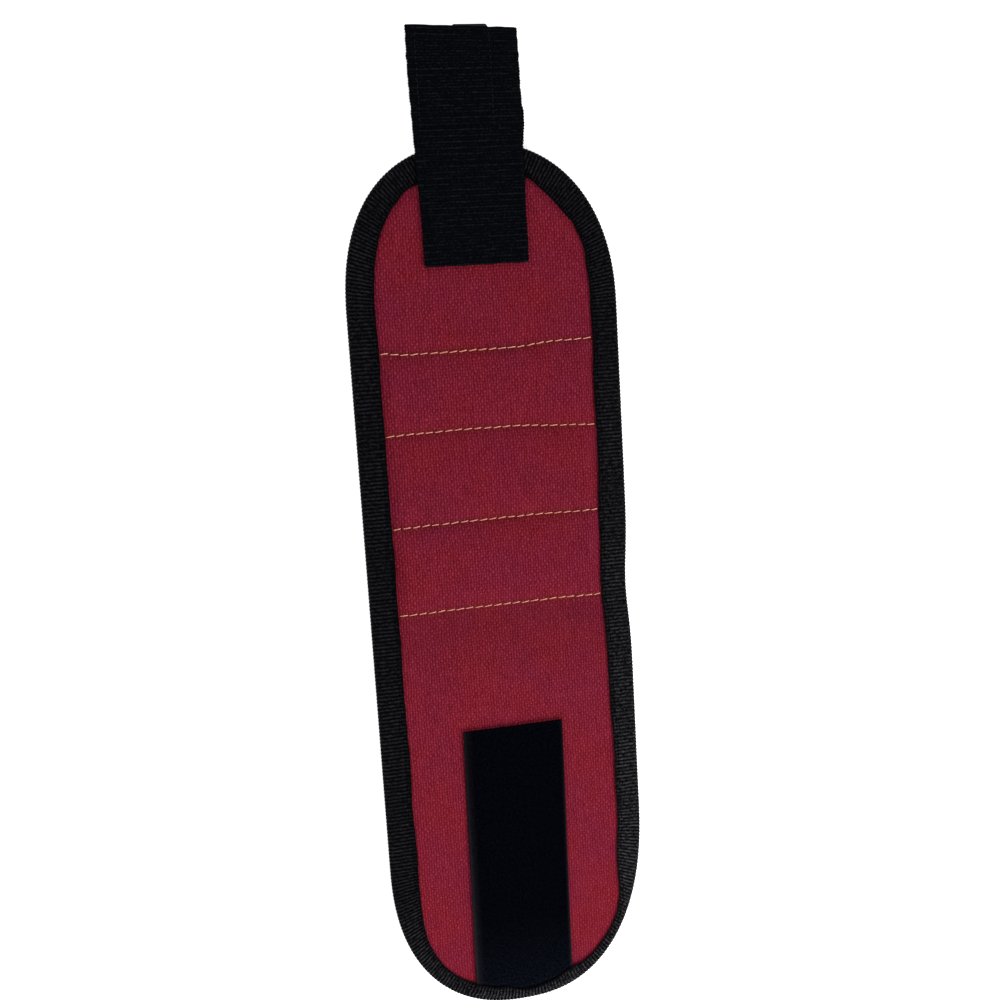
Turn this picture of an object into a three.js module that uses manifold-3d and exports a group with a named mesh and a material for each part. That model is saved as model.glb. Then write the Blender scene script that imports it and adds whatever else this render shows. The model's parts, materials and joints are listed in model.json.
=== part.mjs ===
// A magnetic wristband laid flat with its front up, in millimetres, +Z up.
// The origin is at the middle of the bottom of its box, and +Y runs towards the closing strap.
// Stations are distances along the band from its loop end. The cloths are cut where the band folds.
import * as THREE from "three";
import { mergeVertices } from "three/addons/utils/BufferGeometryUtils.js";
import Module from "manifold-3d";

// The band, from its loop end: plain canvas, three pockets, plain canvas, the strap's seat
const BAND_WIDTH = 100;
const LOOP_END_LENGTH = 161;
const POCKET_LENGTHS = { pocket_3: 33, pocket_2: 33, pocket_1: 31 };
const UPPER_PLAIN_LENGTH = 30;
const STRAP_SEAT_LENGTH = 42;
const END_CURVE_LENGTH = 60;
const END_ROUNDNESS = 2.3;
const END_STEPS = 16;

// Cloths, and the room between two that are sewn together
const LINING_THICKNESS = 0.7;
const CANVAS_THICKNESS = 0.8;
const SEWN_GAP = 0.2;
const FOLD_GAP = 0.3;

// Binding tape, folded round the edge. Its front flap narrows on the right of the loop end.
const TAPE_THICKNESS = 0.7;
const TAPE_REACH = 10.5;
const TAPE_NARROWING = 7;
const NARROWEST_SHARE = 0.23;
const NARROWING_SPREAD_SHARE = 0.19;

// Magnet pockets, pinched between rows of stitching
const SHOULDER = 4;
const SHOULDER_STEPS = 3;
const POCKET_CORNER_RADIUS = 3;
const CORNER_STEPS = 3;
const ROW_MARGIN = 2;
const FOLD_FROM_ROW = 1.5;
const THREAD_RADIUS = 0.3;
const THREAD_SIDES = 6;

// Magnets, and the foam strip that spaces them in each pocket
const MAGNETS_PER_POCKET = 4;
const MAGNET_DIAMETER = 12;
const MAGNET_THICKNESS = 2.5;
const MAGNET_SIDES = 20;
const FOAM_THICKNESS = 3;
const FOAM_GAP = 0.3;

// Loop patch on the front, caught under the binding at the loop end
const PATCH_WIDTH = 38;
const PATCH_THICKNESS = 1.8;
const PATCH_TONGUE_THICKNESS = 0.8;
const PATCH_TUCK_START = 3.5;
const PATCH_TOP_STATION = 112.5;
const PATCH_OFFSET = 1;
const PATCH_FOLD_SHARES = [1 / 3, 2 / 3];

// Closing strap, and the hook tape under its free part
const STRAP_WIDTH = 38;
const STRAP_THICKNESS = 1.6;
const STRAP_FREE_LENGTH = 40;
const STRAP_OFFSET = -0.7;
const HOOK_WIDTH = 30;
const HOOK_OFFSET = -3.9;
const HOOK_LENGTH = 34;
const HOOK_THICKNESS = 1.3;
const HOOK_FROM_END = 3;

// One overrun for every cut
const OVERRUN = 5;

// Heights of the layers, from the lining's underside
const tapeTop = 2 * TAPE_THICKNESS + LINING_THICKNESS + CANVAS_THICKNESS + 3 * SEWN_GAP;
const liningRim = TAPE_THICKNESS + SEWN_GAP;
const canvasRim = liningRim + LINING_THICKNESS + SEWN_GAP;
const canvasRimTop = canvasRim + CANVAS_THICKNESS;
const foamBottom = LINING_THICKNESS + SEWN_GAP;
const pocketTop = foamBottom + FOAM_THICKNESS + SEWN_GAP + CANVAS_THICKNESS;
const patchBottom = canvasRimTop + SEWN_GAP;
const tongueTop = patchBottom + PATCH_TONGUE_THICKNESS;
const bridgeTop = tongueTop + SEWN_GAP + TAPE_THICKNESS;
const strapBottom = tapeTop + SEWN_GAP;

// Stations of the rows of stitching, counted from the strap's side, and of the seams
const rowFour = LOOP_END_LENGTH;
const rowThree = rowFour + POCKET_LENGTHS.pocket_3;
const rowTwo = rowThree + POCKET_LENGTHS.pocket_2;
const rowOne = rowTwo + POCKET_LENGTHS.pocket_1;
const strapSeam = rowOne + UPPER_PLAIN_LENGTH;
const bandLength = strapSeam + STRAP_SEAT_LENGTH;
const overallLength = bandLength + STRAP_FREE_LENGTH;

// The stretches of cloth between two folds, from the loop end to the strap's seat
const stretches = [
  { name: "loop_end", to: PATCH_TOP_STATION * PATCH_FOLD_SHARES[0], open: true },
  { name: "loop_middle", to: PATCH_TOP_STATION * PATCH_FOLD_SHARES[1] },
  { name: "loop_top", to: PATCH_TOP_STATION },
  { name: "lower_plain", to: rowFour - FOLD_FROM_ROW },
  { name: "pocket_3", to: rowThree - FOLD_FROM_ROW },
  { name: "pocket_2", to: rowTwo + FOLD_FROM_ROW },
  { name: "pocket_1", to: rowOne + FOLD_FROM_ROW },
  { name: "upper_plain", to: strapSeam },
  { name: "strap_seat", to: bandLength, open: true },
];

const finishes = {
  canvas: new THREE.MeshStandardMaterial({ color: 0x9c1f33, roughness: 0.85, metalness: 0 }),
  lining: new THREE.MeshStandardMaterial({ color: 0x1c1c1f, roughness: 0.9, metalness: 0 }),
  tape: new THREE.MeshStandardMaterial({ color: 0x121214, roughness: 0.7, metalness: 0 }),
  webbing: new THREE.MeshStandardMaterial({ color: 0x141416, roughness: 0.75, metalness: 0 }),
  loop: new THREE.MeshStandardMaterial({ color: 0x0c0c0f, roughness: 1, metalness: 0 }),
  hook: new THREE.MeshStandardMaterial({ color: 0x161618, roughness: 0.55, metalness: 0 }),
  thread: new THREE.MeshStandardMaterial({ color: 0xc98a2c, roughness: 0.6, metalness: 0 }),
  magnet: new THREE.MeshStandardMaterial({ color: 0xb9bcc0, roughness: 0.25, metalness: 1 }),
  foam: new THREE.MeshStandardMaterial({ color: 0x2a2a2c, roughness: 0.95, metalness: 0 }),
};

const wristband = new THREE.Group();
const wasm = await Module();
wasm.setup();

function addPiece(name, geometry, material) {
  const mesh = new THREE.Mesh(geometry, material);
  mesh.name = name;
  wristband.add(mesh);
  return mesh;
}

// A closed geometry as a solid that can be joined and cut
function solidOf(geometry) {
  geometry.deleteAttribute("normal");
  geometry.deleteAttribute("uv");
  const merged = mergeVertices(geometry);
  const vertProperties = merged.getAttribute("position").array;
  const triVerts = new Uint32Array(merged.getIndex().array);
  return new wasm.Manifold(new wasm.Mesh({ numProp: 3, vertProperties, triVerts }));
}

function geometryOf(solid) {
  const { vertProperties, triVerts } = solid.getMesh();
  const geometry = new THREE.BufferGeometry();
  geometry.setAttribute("position", new THREE.BufferAttribute(vertProperties, 3));
  geometry.setIndex(new THREE.BufferAttribute(triVerts, 1));
  geometry.computeVertexNormals();
  return geometry;
}

function placeOf(station) {
  return station - overallLength / 2;
}

// How much of its reach the binding's front flap has lost at an angle round the loop end: a bell curve.
function narrowingAt(angle) {
  const away = (angle / Math.PI - NARROWEST_SHARE) / NARROWING_SPREAD_SHARE;
  return TAPE_NARROWING * Math.exp(-away * away);
}

// The band's outline moved inwards: straight sides, and ends where |x/a|^n + |y/b|^n = 1.
// Where it is the front flap's inner edge, it lies nearer the edge round part of the loop end.
function outline(inset, narrowed = false) {
  const points = [];
  for (const end of [1, -1]) {
    const centre = placeOf(end > 0 ? bandLength - END_CURVE_LENGTH : END_CURVE_LENGTH);
    for (let step = 0; step <= END_STEPS; step++) {
      const angle = (Math.PI * step) / END_STEPS;
      const here = inset - (narrowed && end < 0 ? narrowingAt(Math.PI - angle) : 0);
      const share = Math.pow(Math.abs(Math.cos(angle)), 2 / END_ROUNDNESS);
      const across = (BAND_WIDTH / 2 - here) * Math.sign(Math.cos(angle)) * share;
      const along = (END_CURVE_LENGTH - here) * Math.pow(Math.sin(angle), 2 / END_ROUNDNESS);
      points.push(new THREE.Vector2(end * across, centre + end * along));
    }
  }
  return new THREE.Shape(points);
}

// A rectangle with round corners, from one station to another, on both sides of the middle
function roundedRectangle(halfWidth, from, to, radius) {
  const shape = new THREE.Shape();
  const low = placeOf(from) + radius;
  const high = placeOf(to) - radius;
  const side = halfWidth - radius;
  shape.absarc(side, high, radius, 0, Math.PI / 2);
  shape.absarc(-side, high, radius, Math.PI / 2, Math.PI);
  shape.absarc(-side, low, radius, Math.PI, 1.5 * Math.PI);
  shape.absarc(side, low, radius, 1.5 * Math.PI, 2 * Math.PI);
  return shape;
}

function layer(shape, bottom, top) {
  const depth = top - bottom;
  const geometry = new THREE.ExtrudeGeometry(shape, { depth, bevelEnabled: false });
  return solidOf(geometry.translate(0, 0, bottom));
}

// A block from one station to another, between two heights, centred on a place across the band
function block(middle, width, from, to, bottom, top) {
  const geometry = new THREE.BoxGeometry(width, to - from, top - bottom);
  return solidOf(geometry.translate(middle, placeOf((from + to) / 2), (bottom + top) / 2));
}

// A flat-topped mound with rounded shoulders. The shape is that of its top.
function mound(shape, foot, top) {
  const geometry = new THREE.ExtrudeGeometry(shape, {
    depth: OVERRUN,
    bevelThickness: top - foot,
    bevelSize: SHOULDER,
    bevelSegments: SHOULDER_STEPS,
    curveSegments: CORNER_STEPS,
  });
  const whole = solidOf(geometry.translate(0, 0, foot - OVERRUN));
  return whole.intersect(block(0, 2 * BAND_WIDTH, -OVERRUN, overallLength, foot, top + OVERRUN));
}

// The part of a solid in one stretch between two folds, clear of the next, whole or on one side
function stretchOf(solid, index, side = 0) {
  const stretch = stretches[index];
  const start = index === 0 ? 0 : stretches[index - 1].to;
  const from = index === 0 ? -OVERRUN : start + FOLD_GAP / 2;
  const to = index === stretches.length - 1 ? stretch.to + OVERRUN : stretch.to - FOLD_GAP / 2;
  const middle = (side * BAND_WIDTH) / 2;
  const width = side === 0 ? 2 * BAND_WIDTH : BAND_WIDTH;
  return solid.intersect(block(middle, width, from, to, -OVERRUN, bridgeTop + pocketTop));
}

// Front canvas: flat under the binding, raised where the strap is sewn and over each row of magnets
function canvasPanel() {
  const free = TAPE_REACH + SEWN_GAP;
  const seat = block(0, BAND_WIDTH, rowOne + ROW_MARGIN, bandLength, canvasRim, tapeTop);
  const seatHollow = block(
    0,
    BAND_WIDTH,
    rowOne + ROW_MARGIN + CANVAS_THICKNESS,
    bandLength,
    -OVERRUN,
    tapeTop,
  );
  const thinner = free + SHOULDER + CANVAS_THICKNESS;
  const seatTop = mound(outline(free + SHOULDER), canvasRim, tapeTop).intersect(seat);
  const under = mound(outline(thinner), canvasRim - OVERRUN, tapeTop - CANVAS_THICKNESS);
  let panel = layer(outline(TAPE_THICKNESS + SEWN_GAP), canvasRim, canvasRimTop).add(seatTop);
  panel = panel.subtract(under.intersect(seatHollow));
  for (const [start, end] of pocketRows()) {
    panel = panel.add(pocketMound(start, end, 0, canvasRim, pocketTop));
  }
  for (const [start, end] of pocketRows()) {
    const top = pocketTop - CANVAS_THICKNESS;
    panel = panel.subtract(pocketMound(start, end, CANVAS_THICKNESS, canvasRim - OVERRUN, top));
  }
  return panel;
}

function pocketRows() {
  return [
    [rowFour, rowThree],
    [rowThree, rowTwo],
    [rowTwo, rowOne],
  ];
}

function pocketMound(start, end, inset, foot, top) {
  const halfWidth = BAND_WIDTH / 2 - TAPE_REACH - SEWN_GAP - SHOULDER - inset;
  const from = start + ROW_MARGIN + SHOULDER + inset;
  const to = end - ROW_MARGIN - SHOULDER - inset;
  return mound(roundedRectangle(halfWidth, from, to, POCKET_CORNER_RADIUS), foot, top);
}

// Lining: its rim lies in the binding, and its middle lies as low as the binding's underside
function liningPanel() {
  const step = TAPE_REACH + FOAM_GAP;
  const rim = layer(outline(TAPE_THICKNESS + SEWN_GAP), liningRim, liningRim + LINING_THICKNESS);
  const tray = layer(outline(step), 0, liningRim + LINING_THICKNESS);
  const hollow = layer(outline(step + LINING_THICKNESS), LINING_THICKNESS, liningRim + OVERRUN);
  return rim.add(tray).subtract(hollow);
}

// Binding tape: a fold round the whole edge, raised in a bridge over the loop patch's tongue
function bindingTape() {
  const tongueRoom = PATCH_WIDTH + 2 * SEWN_GAP;
  const bridgeWidth = tongueRoom + 2 * TAPE_THICKNESS;
  const cavity = layer(outline(TAPE_THICKNESS), TAPE_THICKNESS, tapeTop - TAPE_THICKNESS);
  const backWindow = layer(outline(TAPE_REACH), -OVERRUN, tapeTop / 2);
  const frontWindow = layer(outline(TAPE_REACH, true), tapeTop / 2, bridgeTop + OVERRUN);
  const reach = END_CURVE_LENGTH / 2;
  const bridge = block(PATCH_OFFSET, bridgeWidth, -OVERRUN, reach, tapeTop / 2, bridgeTop);
  const raised = layer(outline(0), tapeTop / 2, bridgeTop).intersect(bridge);
  const roomTop = tongueTop + SEWN_GAP;
  const room = block(PATCH_OFFSET, tongueRoom, -OVERRUN, reach, canvasRimTop, roomTop);
  const tuck = layer(outline(PATCH_TUCK_START - SEWN_GAP), canvasRimTop, roomTop).intersect(room);
  const folded = layer(outline(0), 0, tapeTop).add(raised);
  return folded.subtract(cavity).subtract(backWindow).subtract(frontWindow).subtract(tuck);
}

// Loop patch: a thick tape inside the binding's front edge, with a thin tongue under the binding
function loopPatch() {
  const clear = TAPE_REACH + FOAM_GAP;
  const top = patchBottom + PATCH_THICKNESS;
  const tape = block(PATCH_OFFSET, PATCH_WIDTH, 0, PATCH_TOP_STATION, patchBottom, top);
  const body = layer(outline(clear, true), patchBottom, top).intersect(tape);
  const caught = END_CURVE_LENGTH / 2;
  const tongue = block(PATCH_OFFSET, PATCH_WIDTH, PATCH_TUCK_START, caught, patchBottom, tongueTop);
  return body.add(tongue.intersect(layer(outline(PATCH_TUCK_START), patchBottom, tongueTop)));
}

function addCloths() {
  const canvas = canvasPanel();
  const lining = liningPanel();
  const binding = bindingTape();
  const patch = loopPatch();
  stretches.forEach(({ name, open, to }, index) => {
    addPiece(`front_${name}`, geometryOf(stretchOf(canvas, index)), finishes.canvas);
    addPiece(`lining_${name}`, geometryOf(stretchOf(lining, index)), finishes.lining);
    if (open) {
      addPiece(`binding_${name}`, geometryOf(stretchOf(binding, index)), finishes.tape);
    } else {
      addPiece(`binding_left_${name}`, geometryOf(stretchOf(binding, index, -1)), finishes.tape);
      addPiece(`binding_right_${name}`, geometryOf(stretchOf(binding, index, 1)), finishes.tape);
    }
    if (to <= PATCH_TOP_STATION) {
      addPiece(`patch_${name}`, geometryOf(stretchOf(patch, index)), finishes.loop);
    }
  });
}

// Foam strip with a round seat for each magnet, and its magnets side by side
function addMagnets() {
  pocketRows().forEach(([start, end], index) => {
    const pocket = Object.keys(POCKET_LENGTHS)[index];
    const inset = SHOULDER + CANVAS_THICKNESS + FOAM_GAP;
    const halfWidth = BAND_WIDTH / 2 - TAPE_REACH - SEWN_GAP - inset;
    const from = start + ROW_MARGIN + inset;
    const to = end - ROW_MARGIN - inset;
    const strip = roundedRectangle(halfWidth, from, to, POCKET_CORNER_RADIUS);
    const pitch = (2 * halfWidth) / MAGNETS_PER_POCKET;
    const middle = placeOf((start + end) / 2);
    for (let count = 0; count < MAGNETS_PER_POCKET; count++) {
      const across = (count + 0.5) * pitch - halfWidth;
      const seat = new THREE.Path();
      seat.absarc(across, middle, MAGNET_DIAMETER / 2 + FOAM_GAP, 0, 2 * Math.PI, true);
      strip.holes.push(seat);
      const radius = MAGNET_DIAMETER / 2;
      const disc = new THREE.CylinderGeometry(radius, radius, MAGNET_THICKNESS, MAGNET_SIDES);
      const magnet = addPiece(`magnet_${pocket}_${count + 1}`, disc, finishes.magnet);
      magnet.rotation.x = Math.PI / 2;
      magnet.position.set(across, middle, foamBottom + FOAM_THICKNESS / 2);
    }
    const foam = new THREE.ExtrudeGeometry(strip, {
      depth: FOAM_THICKNESS,
      bevelEnabled: false,
      curveSegments: MAGNET_SIDES / 2,
    });
    foam.translate(0, 0, foamBottom);
    addPiece(`foam_${pocket}`, foam, finishes.foam);
  });
}

// One straight thread along each row of stitching, from binding to binding
function addStitchRows() {
  const length = BAND_WIDTH - 2 * (TAPE_REACH + FOAM_GAP);
  [rowOne, rowTwo, rowThree, rowFour].forEach((station, index) => {
    const thread = new THREE.CylinderGeometry(THREAD_RADIUS, THREAD_RADIUS, length, THREAD_SIDES);
    const row = addPiece(`stitch_row_${index + 1}`, thread, finishes.thread);
    row.rotation.z = Math.PI / 2;
    row.position.set(0, placeOf(station), canvasRimTop + SEWN_GAP + THREAD_RADIUS);
  });
}

// Webbing strap: sewn on its seat, free past the band's end, with hook tape under the free part
function addStrap() {
  const top = strapBottom + STRAP_THICKNESS;
  const ends = [
    ["strap_sewn", strapSeam + FOLD_GAP / 2, bandLength - FOLD_GAP / 2],
    ["strap_free", bandLength + FOLD_GAP / 2, overallLength],
  ];
  for (const [name, from, to] of ends) {
    const webbing = block(STRAP_OFFSET, STRAP_WIDTH, from, to, strapBottom, top);
    addPiece(name, geometryOf(webbing), finishes.webbing);
  }
  const start = bandLength + HOOK_FROM_END;
  const bottom = strapBottom - HOOK_THICKNESS;
  const hook = block(HOOK_OFFSET, HOOK_WIDTH, start, start + HOOK_LENGTH, bottom, strapBottom);
  addPiece("hook_tape", geometryOf(hook), finishes.hook);
}

addCloths();
addMagnets();
addStitchRows();
addStrap();

export default wristband;
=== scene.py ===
import json
import math

import bpy
import numpy as np
from mathutils import Euler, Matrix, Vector

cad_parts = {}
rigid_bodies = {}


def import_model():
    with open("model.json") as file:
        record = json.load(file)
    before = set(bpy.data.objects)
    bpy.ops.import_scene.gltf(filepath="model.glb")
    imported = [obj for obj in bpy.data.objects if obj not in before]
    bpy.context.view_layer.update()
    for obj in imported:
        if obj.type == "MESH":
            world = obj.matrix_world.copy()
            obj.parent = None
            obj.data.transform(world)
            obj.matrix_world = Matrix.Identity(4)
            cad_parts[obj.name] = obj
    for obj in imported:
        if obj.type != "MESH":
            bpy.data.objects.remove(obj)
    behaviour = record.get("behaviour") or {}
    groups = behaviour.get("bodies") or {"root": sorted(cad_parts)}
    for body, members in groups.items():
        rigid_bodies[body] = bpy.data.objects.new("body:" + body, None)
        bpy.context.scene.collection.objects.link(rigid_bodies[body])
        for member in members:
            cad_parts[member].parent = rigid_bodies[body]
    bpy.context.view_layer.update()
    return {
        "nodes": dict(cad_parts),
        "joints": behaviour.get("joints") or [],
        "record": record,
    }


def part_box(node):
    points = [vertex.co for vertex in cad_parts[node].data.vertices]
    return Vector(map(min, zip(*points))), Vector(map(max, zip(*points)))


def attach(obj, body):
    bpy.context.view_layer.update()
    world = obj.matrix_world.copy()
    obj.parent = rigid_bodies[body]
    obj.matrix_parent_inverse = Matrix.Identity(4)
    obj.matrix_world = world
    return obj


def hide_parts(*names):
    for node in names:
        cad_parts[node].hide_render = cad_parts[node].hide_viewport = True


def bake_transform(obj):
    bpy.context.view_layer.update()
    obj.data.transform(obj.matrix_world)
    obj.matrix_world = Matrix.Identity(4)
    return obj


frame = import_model()

# Front canvas. One panel of red plain-weave polyester, cut to the band's outline and caught in the
# binding all round. Four rows of stitching pin it to the lining, and it puffs a little over the
# magnets between them. It is made in slices that meet in mid stretch, one round each fold.
HALF_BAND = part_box("binding_right_pocket_2")[1].x
LOOP_SHORT = 0.0016
LOOP_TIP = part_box("binding_loop_end")[0].y + LOOP_SHORT
STRAP_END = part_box("binding_strap_seat")[1].y
LOOP_CURVE_LEFT, LOOP_ROUNDNESS_LEFT = 0.062, 2.35
LOOP_CURVE_RIGHT, LOOP_ROUNDNESS_RIGHT = 0.074, 2.35
STRAP_CURVE = 0.060
STRAP_ROUNDNESS_LEFT, STRAP_ROUNDNESS_RIGHT = 2.42, 2.23
BINDING_REACH = 0.0105
LOOP_END_NARROWINGS = (
    (0.0009, 0.0, 0.13), (0.0062, 0.262, 0.14), (0.0029, 0.465, 0.06), (0.0042, 0.66, 0.22)
)
STRAP_END_NARROWINGS = (
    (0.0013, 0.155, 0.06), (0.0010, 0.38, 0.055), (0.0007, 0.67, 0.045), (0.0013, 0.79, 0.165)
)
SIDE_WIDENING, SIDE_SPREAD = 0.0009, 0.035
SIDE_DRAW, DRAW_ABOVE_ROW, DRAW_SPREAD = 0.0014, 0.004, 0.016
STRETCHES = (
    "loop_end", "loop_middle", "loop_top", "lower_plain", "pocket_3", "pocket_2", "pocket_1",
    "upper_plain", "strap_seat"
)

CANVAS_THICKNESS = 0.0008
CANVAS_EDGE = 0.0013
CANVAS_STEP = 0.0008
TIP_GAP = 0.0003
RIM_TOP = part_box("front_lower_plain")[1].z
POCKET_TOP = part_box("front_pocket_2")[1].z
SEAT_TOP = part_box("front_strap_seat")[1].z
SEAT_RAMP, LOOP_RAMP, PUFF_RAMP, RIM_RAMP = 0.006, 0.007, 0.0056, 0.0034
CANVAS_WAVES = ((0.00022, 0.030, 3, 0.010), (0.00009, 0.011, 4, 0.006))
STITCH_PULL, PULL_WIDTH = 0.00010, 0.0011
PUCKER_HEIGHT, PUCKER_SIZE, PUCKER_REACH = 0.00016, 0.0065, 0.0035
GATHER_HEIGHT, GATHER_SIZE, GATHER_REACH = 0.00007, 0.006, 0.003
ROWS = (1, 2, 3, 4)
ROW_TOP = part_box("stitch_row_1")[0].z + 0.0003
ROW_WANDER, WANDER_LENGTH = 0.00012, 0.018
SAG_RISE, SAG_END, SAG_FALL = 0.25, 0.68, 0.45
DIP_WIDTH = 0.0013
ROW_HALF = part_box("stitch_row_1")[1].x
ROW_TILT = {1: 0.0004, 2: -0.0008, 3: 0.0002, 4: 0.0002}
ROW_BOW = {1: -0.0001, 2: 0.0013, 3: 0.0005, 4: 0.0003}
ROW_SHIFT = {1: 0.0, 2: 0.0, 3: 0.0, 4: 0.0005}
ROW_SAG = {1: 0.0011, 2: 0.0, 3: 0.0, 4: 0.0}
STITCH_PITCH = 0.0036


def ease(share):
    """0 below 0, 1 above 1, and between them three times the square less twice the cube."""
    share = np.clip(share, 0, 1)
    return share * share * (3 - 2 * share)


def unevenness(x, y, size, seed):
    """Soft bumps of about that size, from -1 to 1: the mean of seven sine waves that run in random
    directions, with random phases and wavelengths from 0.7 to 1.6 times the size."""
    dice = np.random.default_rng(seed)
    total = 0 * (x + y)
    for _ in range(7):
        angle, phase = dice.uniform(0, 2 * math.pi, 2)
        wave = 2 * math.pi / (size * dice.uniform(0.7, 1.6))
        total = total + np.sin(wave * (x * math.cos(angle) + y * math.sin(angle)) + phase)
    return total / 3.5


def quarter(x, y):
    """How far past the straight sides a place is, with the length and roundness of the end curve it
    belongs to. Each quarter of the outline has its own."""
    at_strap, right = y > (LOOP_TIP + STRAP_END) / 2, x > 0
    loop_length = np.where(right, LOOP_CURVE_RIGHT, LOOP_CURVE_LEFT)
    length = np.where(at_strap, STRAP_CURVE, loop_length)
    loop_roundness = np.where(right, LOOP_ROUNDNESS_RIGHT, LOOP_ROUNDNESS_LEFT)
    strap_roundness = np.where(right, STRAP_ROUNDNESS_RIGHT, STRAP_ROUNDNESS_LEFT)
    past = np.maximum(LOOP_TIP + length - y, y - STRAP_END + length)
    return np.maximum(past, 0), length, np.where(at_strap, strap_roundness, loop_roundness)


def edge(y, side, inset):
    """How far out the band's outline, moved in by the inset, is at y on one side: -1 is left and 1
    right. On an end curve |x/a| and |y/b|, both to the roundness, add up to 1."""
    past, length, roundness = quarter(side + 0 * y, y)
    share = np.clip(past / (length - inset), 0, 1)
    return side * (HALF_BAND - inset) * (1 - share**roundness) ** (1 / roundness)


def narrowing(x, y):
    """How much reach the binding's front flap has lost: flat-topped bells, each of a depth, place
    and spread, of the angle round an end as a share of the half turn from right to left. Those of
    the loop end fade out up the right side, where the flap gains a little at the fourth row."""
    past, length, roundness = quarter(x, y)
    up = (past / length) ** (roundness / 2)
    across = np.sign(x) * np.abs(x / HALF_BAND) ** (roundness / 2)
    share = np.arctan2(up, across) / math.pi
    side = (STRAP_END - STRAP_CURVE - y) / (STRAP_END - LOOP_TIP - STRAP_CURVE - LOOP_CURVE_RIGHT)
    fade = np.where(x > 0, np.clip(side, 0, 1) ** 2, 1)
    loop, strap = (
        sum(depth * np.exp(-(((share - place) / spread) ** 4)) for depth, place, spread in bells)
        for bells in (LOOP_END_NARROWINGS, STRAP_END_NARROWINGS)
    )
    from_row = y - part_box("stitch_row_4")[0].y
    wide = SIDE_WIDENING * np.exp(-((from_row / SIDE_SPREAD) ** 2)) * (x > 0)
    return np.where(y > (LOOP_TIP + STRAP_END) / 2, strap, loop * fade) - wide


def inside(x, y, inset):
    """How far a point lies inside the outline moved in by the inset, in metres: 1 less the point's
    size on that outline, times half its width."""
    past, length, roundness = quarter(x, y)
    size = (np.abs(x) / (HALF_BAND - inset)) ** roundness + (past / (length - inset)) ** roundness
    return (1 - size ** (1 / roundness)) * (HALF_BAND - inset)


def inside_flap(x, y):
    """How far a point lies inside the inner edge of the binding's front flap, in metres."""
    return inside(x, y, BINDING_REACH - narrowing(x, y))


def row_line(row, x):
    """Where a row of stitching runs at x: straight across, tilted, bowed by a half wave, and with a
    sag that begins at the left and ends past the middle."""
    low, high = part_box(f"stitch_row_{row}")
    share = x / ROW_HALF
    sag = ROW_SAG[row] * ease((share + 1) / SAG_RISE) * ease((SAG_END - share) / SAG_FALL)
    bow = ROW_BOW[row] * np.cos(share * math.pi / 2) + ROW_TILT[row] * share
    wander = ROW_WANDER * unevenness(x, 0, WANDER_LENGTH, 70 + row)
    return (low.y + high.y) / 2 + ROW_SHIFT[row] + bow - sag + wander


def covered(x, y):
    """1 where the loop patch or the strap lies on the canvas, fading to 0 within 3 mm of it."""
    fade = 0.003
    low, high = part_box("patch_loop_top")
    patch = ease((high.y + fade - y) / fade) * ease((x - low.x + fade) / fade)
    patch = patch * ease((high.x + fade - x) / fade)
    low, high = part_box("strap_sewn")
    strap = ease((y - low.y + fade) / fade) * ease((x - low.x + fade) / fade)
    strap = strap * ease((high.x + fade - x) / fade)
    return np.maximum(patch, strap)


def canvas_top(x, y):
    """Height of the canvas. From the rim it rises to the level of the rows, and over each pocket by
    1 less the distance from the pocket's middle to the power of 3.2, all to the power of 0.85.
    Broad soft waves lie on it, and puckers along each row and beside the binding."""
    margin = inside_flap(x, y)
    rows = {row: row_line(row, x) for row in ROWS}
    level = ROW_TOP + (SEAT_TOP - ROW_TOP) * ease((y - rows[1]) / SEAT_RAMP)
    level = level - (ROW_TOP - RIM_TOP) * ease((rows[4] - y) / LOOP_RAMP)
    for low, high in ((4, 3), (3, 2), (2, 1)):
        share = np.clip((y - rows[low]) / (rows[high] - rows[low]), 0, 1)
        puff = (1 - np.abs(2 * share - 1) ** 3.2) ** 0.85
        level = level + (POCKET_TOP - ROW_TOP) * puff * ease((margin + 0.0003) / PUFF_RAMP)
    bare = 1 - covered(x, y)
    for height, size, seed, ramp in CANVAS_WAVES:
        level = level + height * unevenness(x, y, size, seed) * bare * ease(margin / ramp)
    for row, line in rows.items():
        away = np.abs(y - line)
        pull = 0.5 + 0.5 * np.cos(2 * math.pi * x / STITCH_PITCH)
        level = level - STITCH_PULL * pull * np.exp(-((away / PULL_WIDTH) ** 2))
        pucker = unevenness(x, 0, PUCKER_SIZE, 10 + row) * np.exp(-away / PUCKER_REACH)
        level = level + PUCKER_HEIGHT * pucker
    gather = unevenness(x + y, y - x, GATHER_SIZE, 5) * np.exp(-np.abs(margin) / GATHER_REACH)
    level = level + GATHER_HEIGHT * gather * bare
    return RIM_TOP + (level - RIM_TOP) * ease((margin + 0.0004) / RIM_RAMP)


def near_row(x, y):
    """Painted shade by the rows: 1 on a row of stitching, falling off as a bell down to 0.37 at 1.3 mm.
    """
    return sum(np.exp(-(((y - row_line(row, x)) / DIP_WIDTH) ** 2)) for row in ROWS)


def settle(points):
    """The band's right edge draws in a little beside the last pocket, as the sixth power of x."""
    x, y, _ = points.T
    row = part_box("stitch_row_4")[0].y
    pull = SIDE_DRAW * np.exp(-(((y - row - DRAW_ABOVE_ROW) / DRAW_SPREAD) ** 2))
    shift = np.stack([pull * np.clip(x / HALF_BAND, 0, 1) ** 6, 0 * x, 0 * x], -1)
    return points - shift


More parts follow.
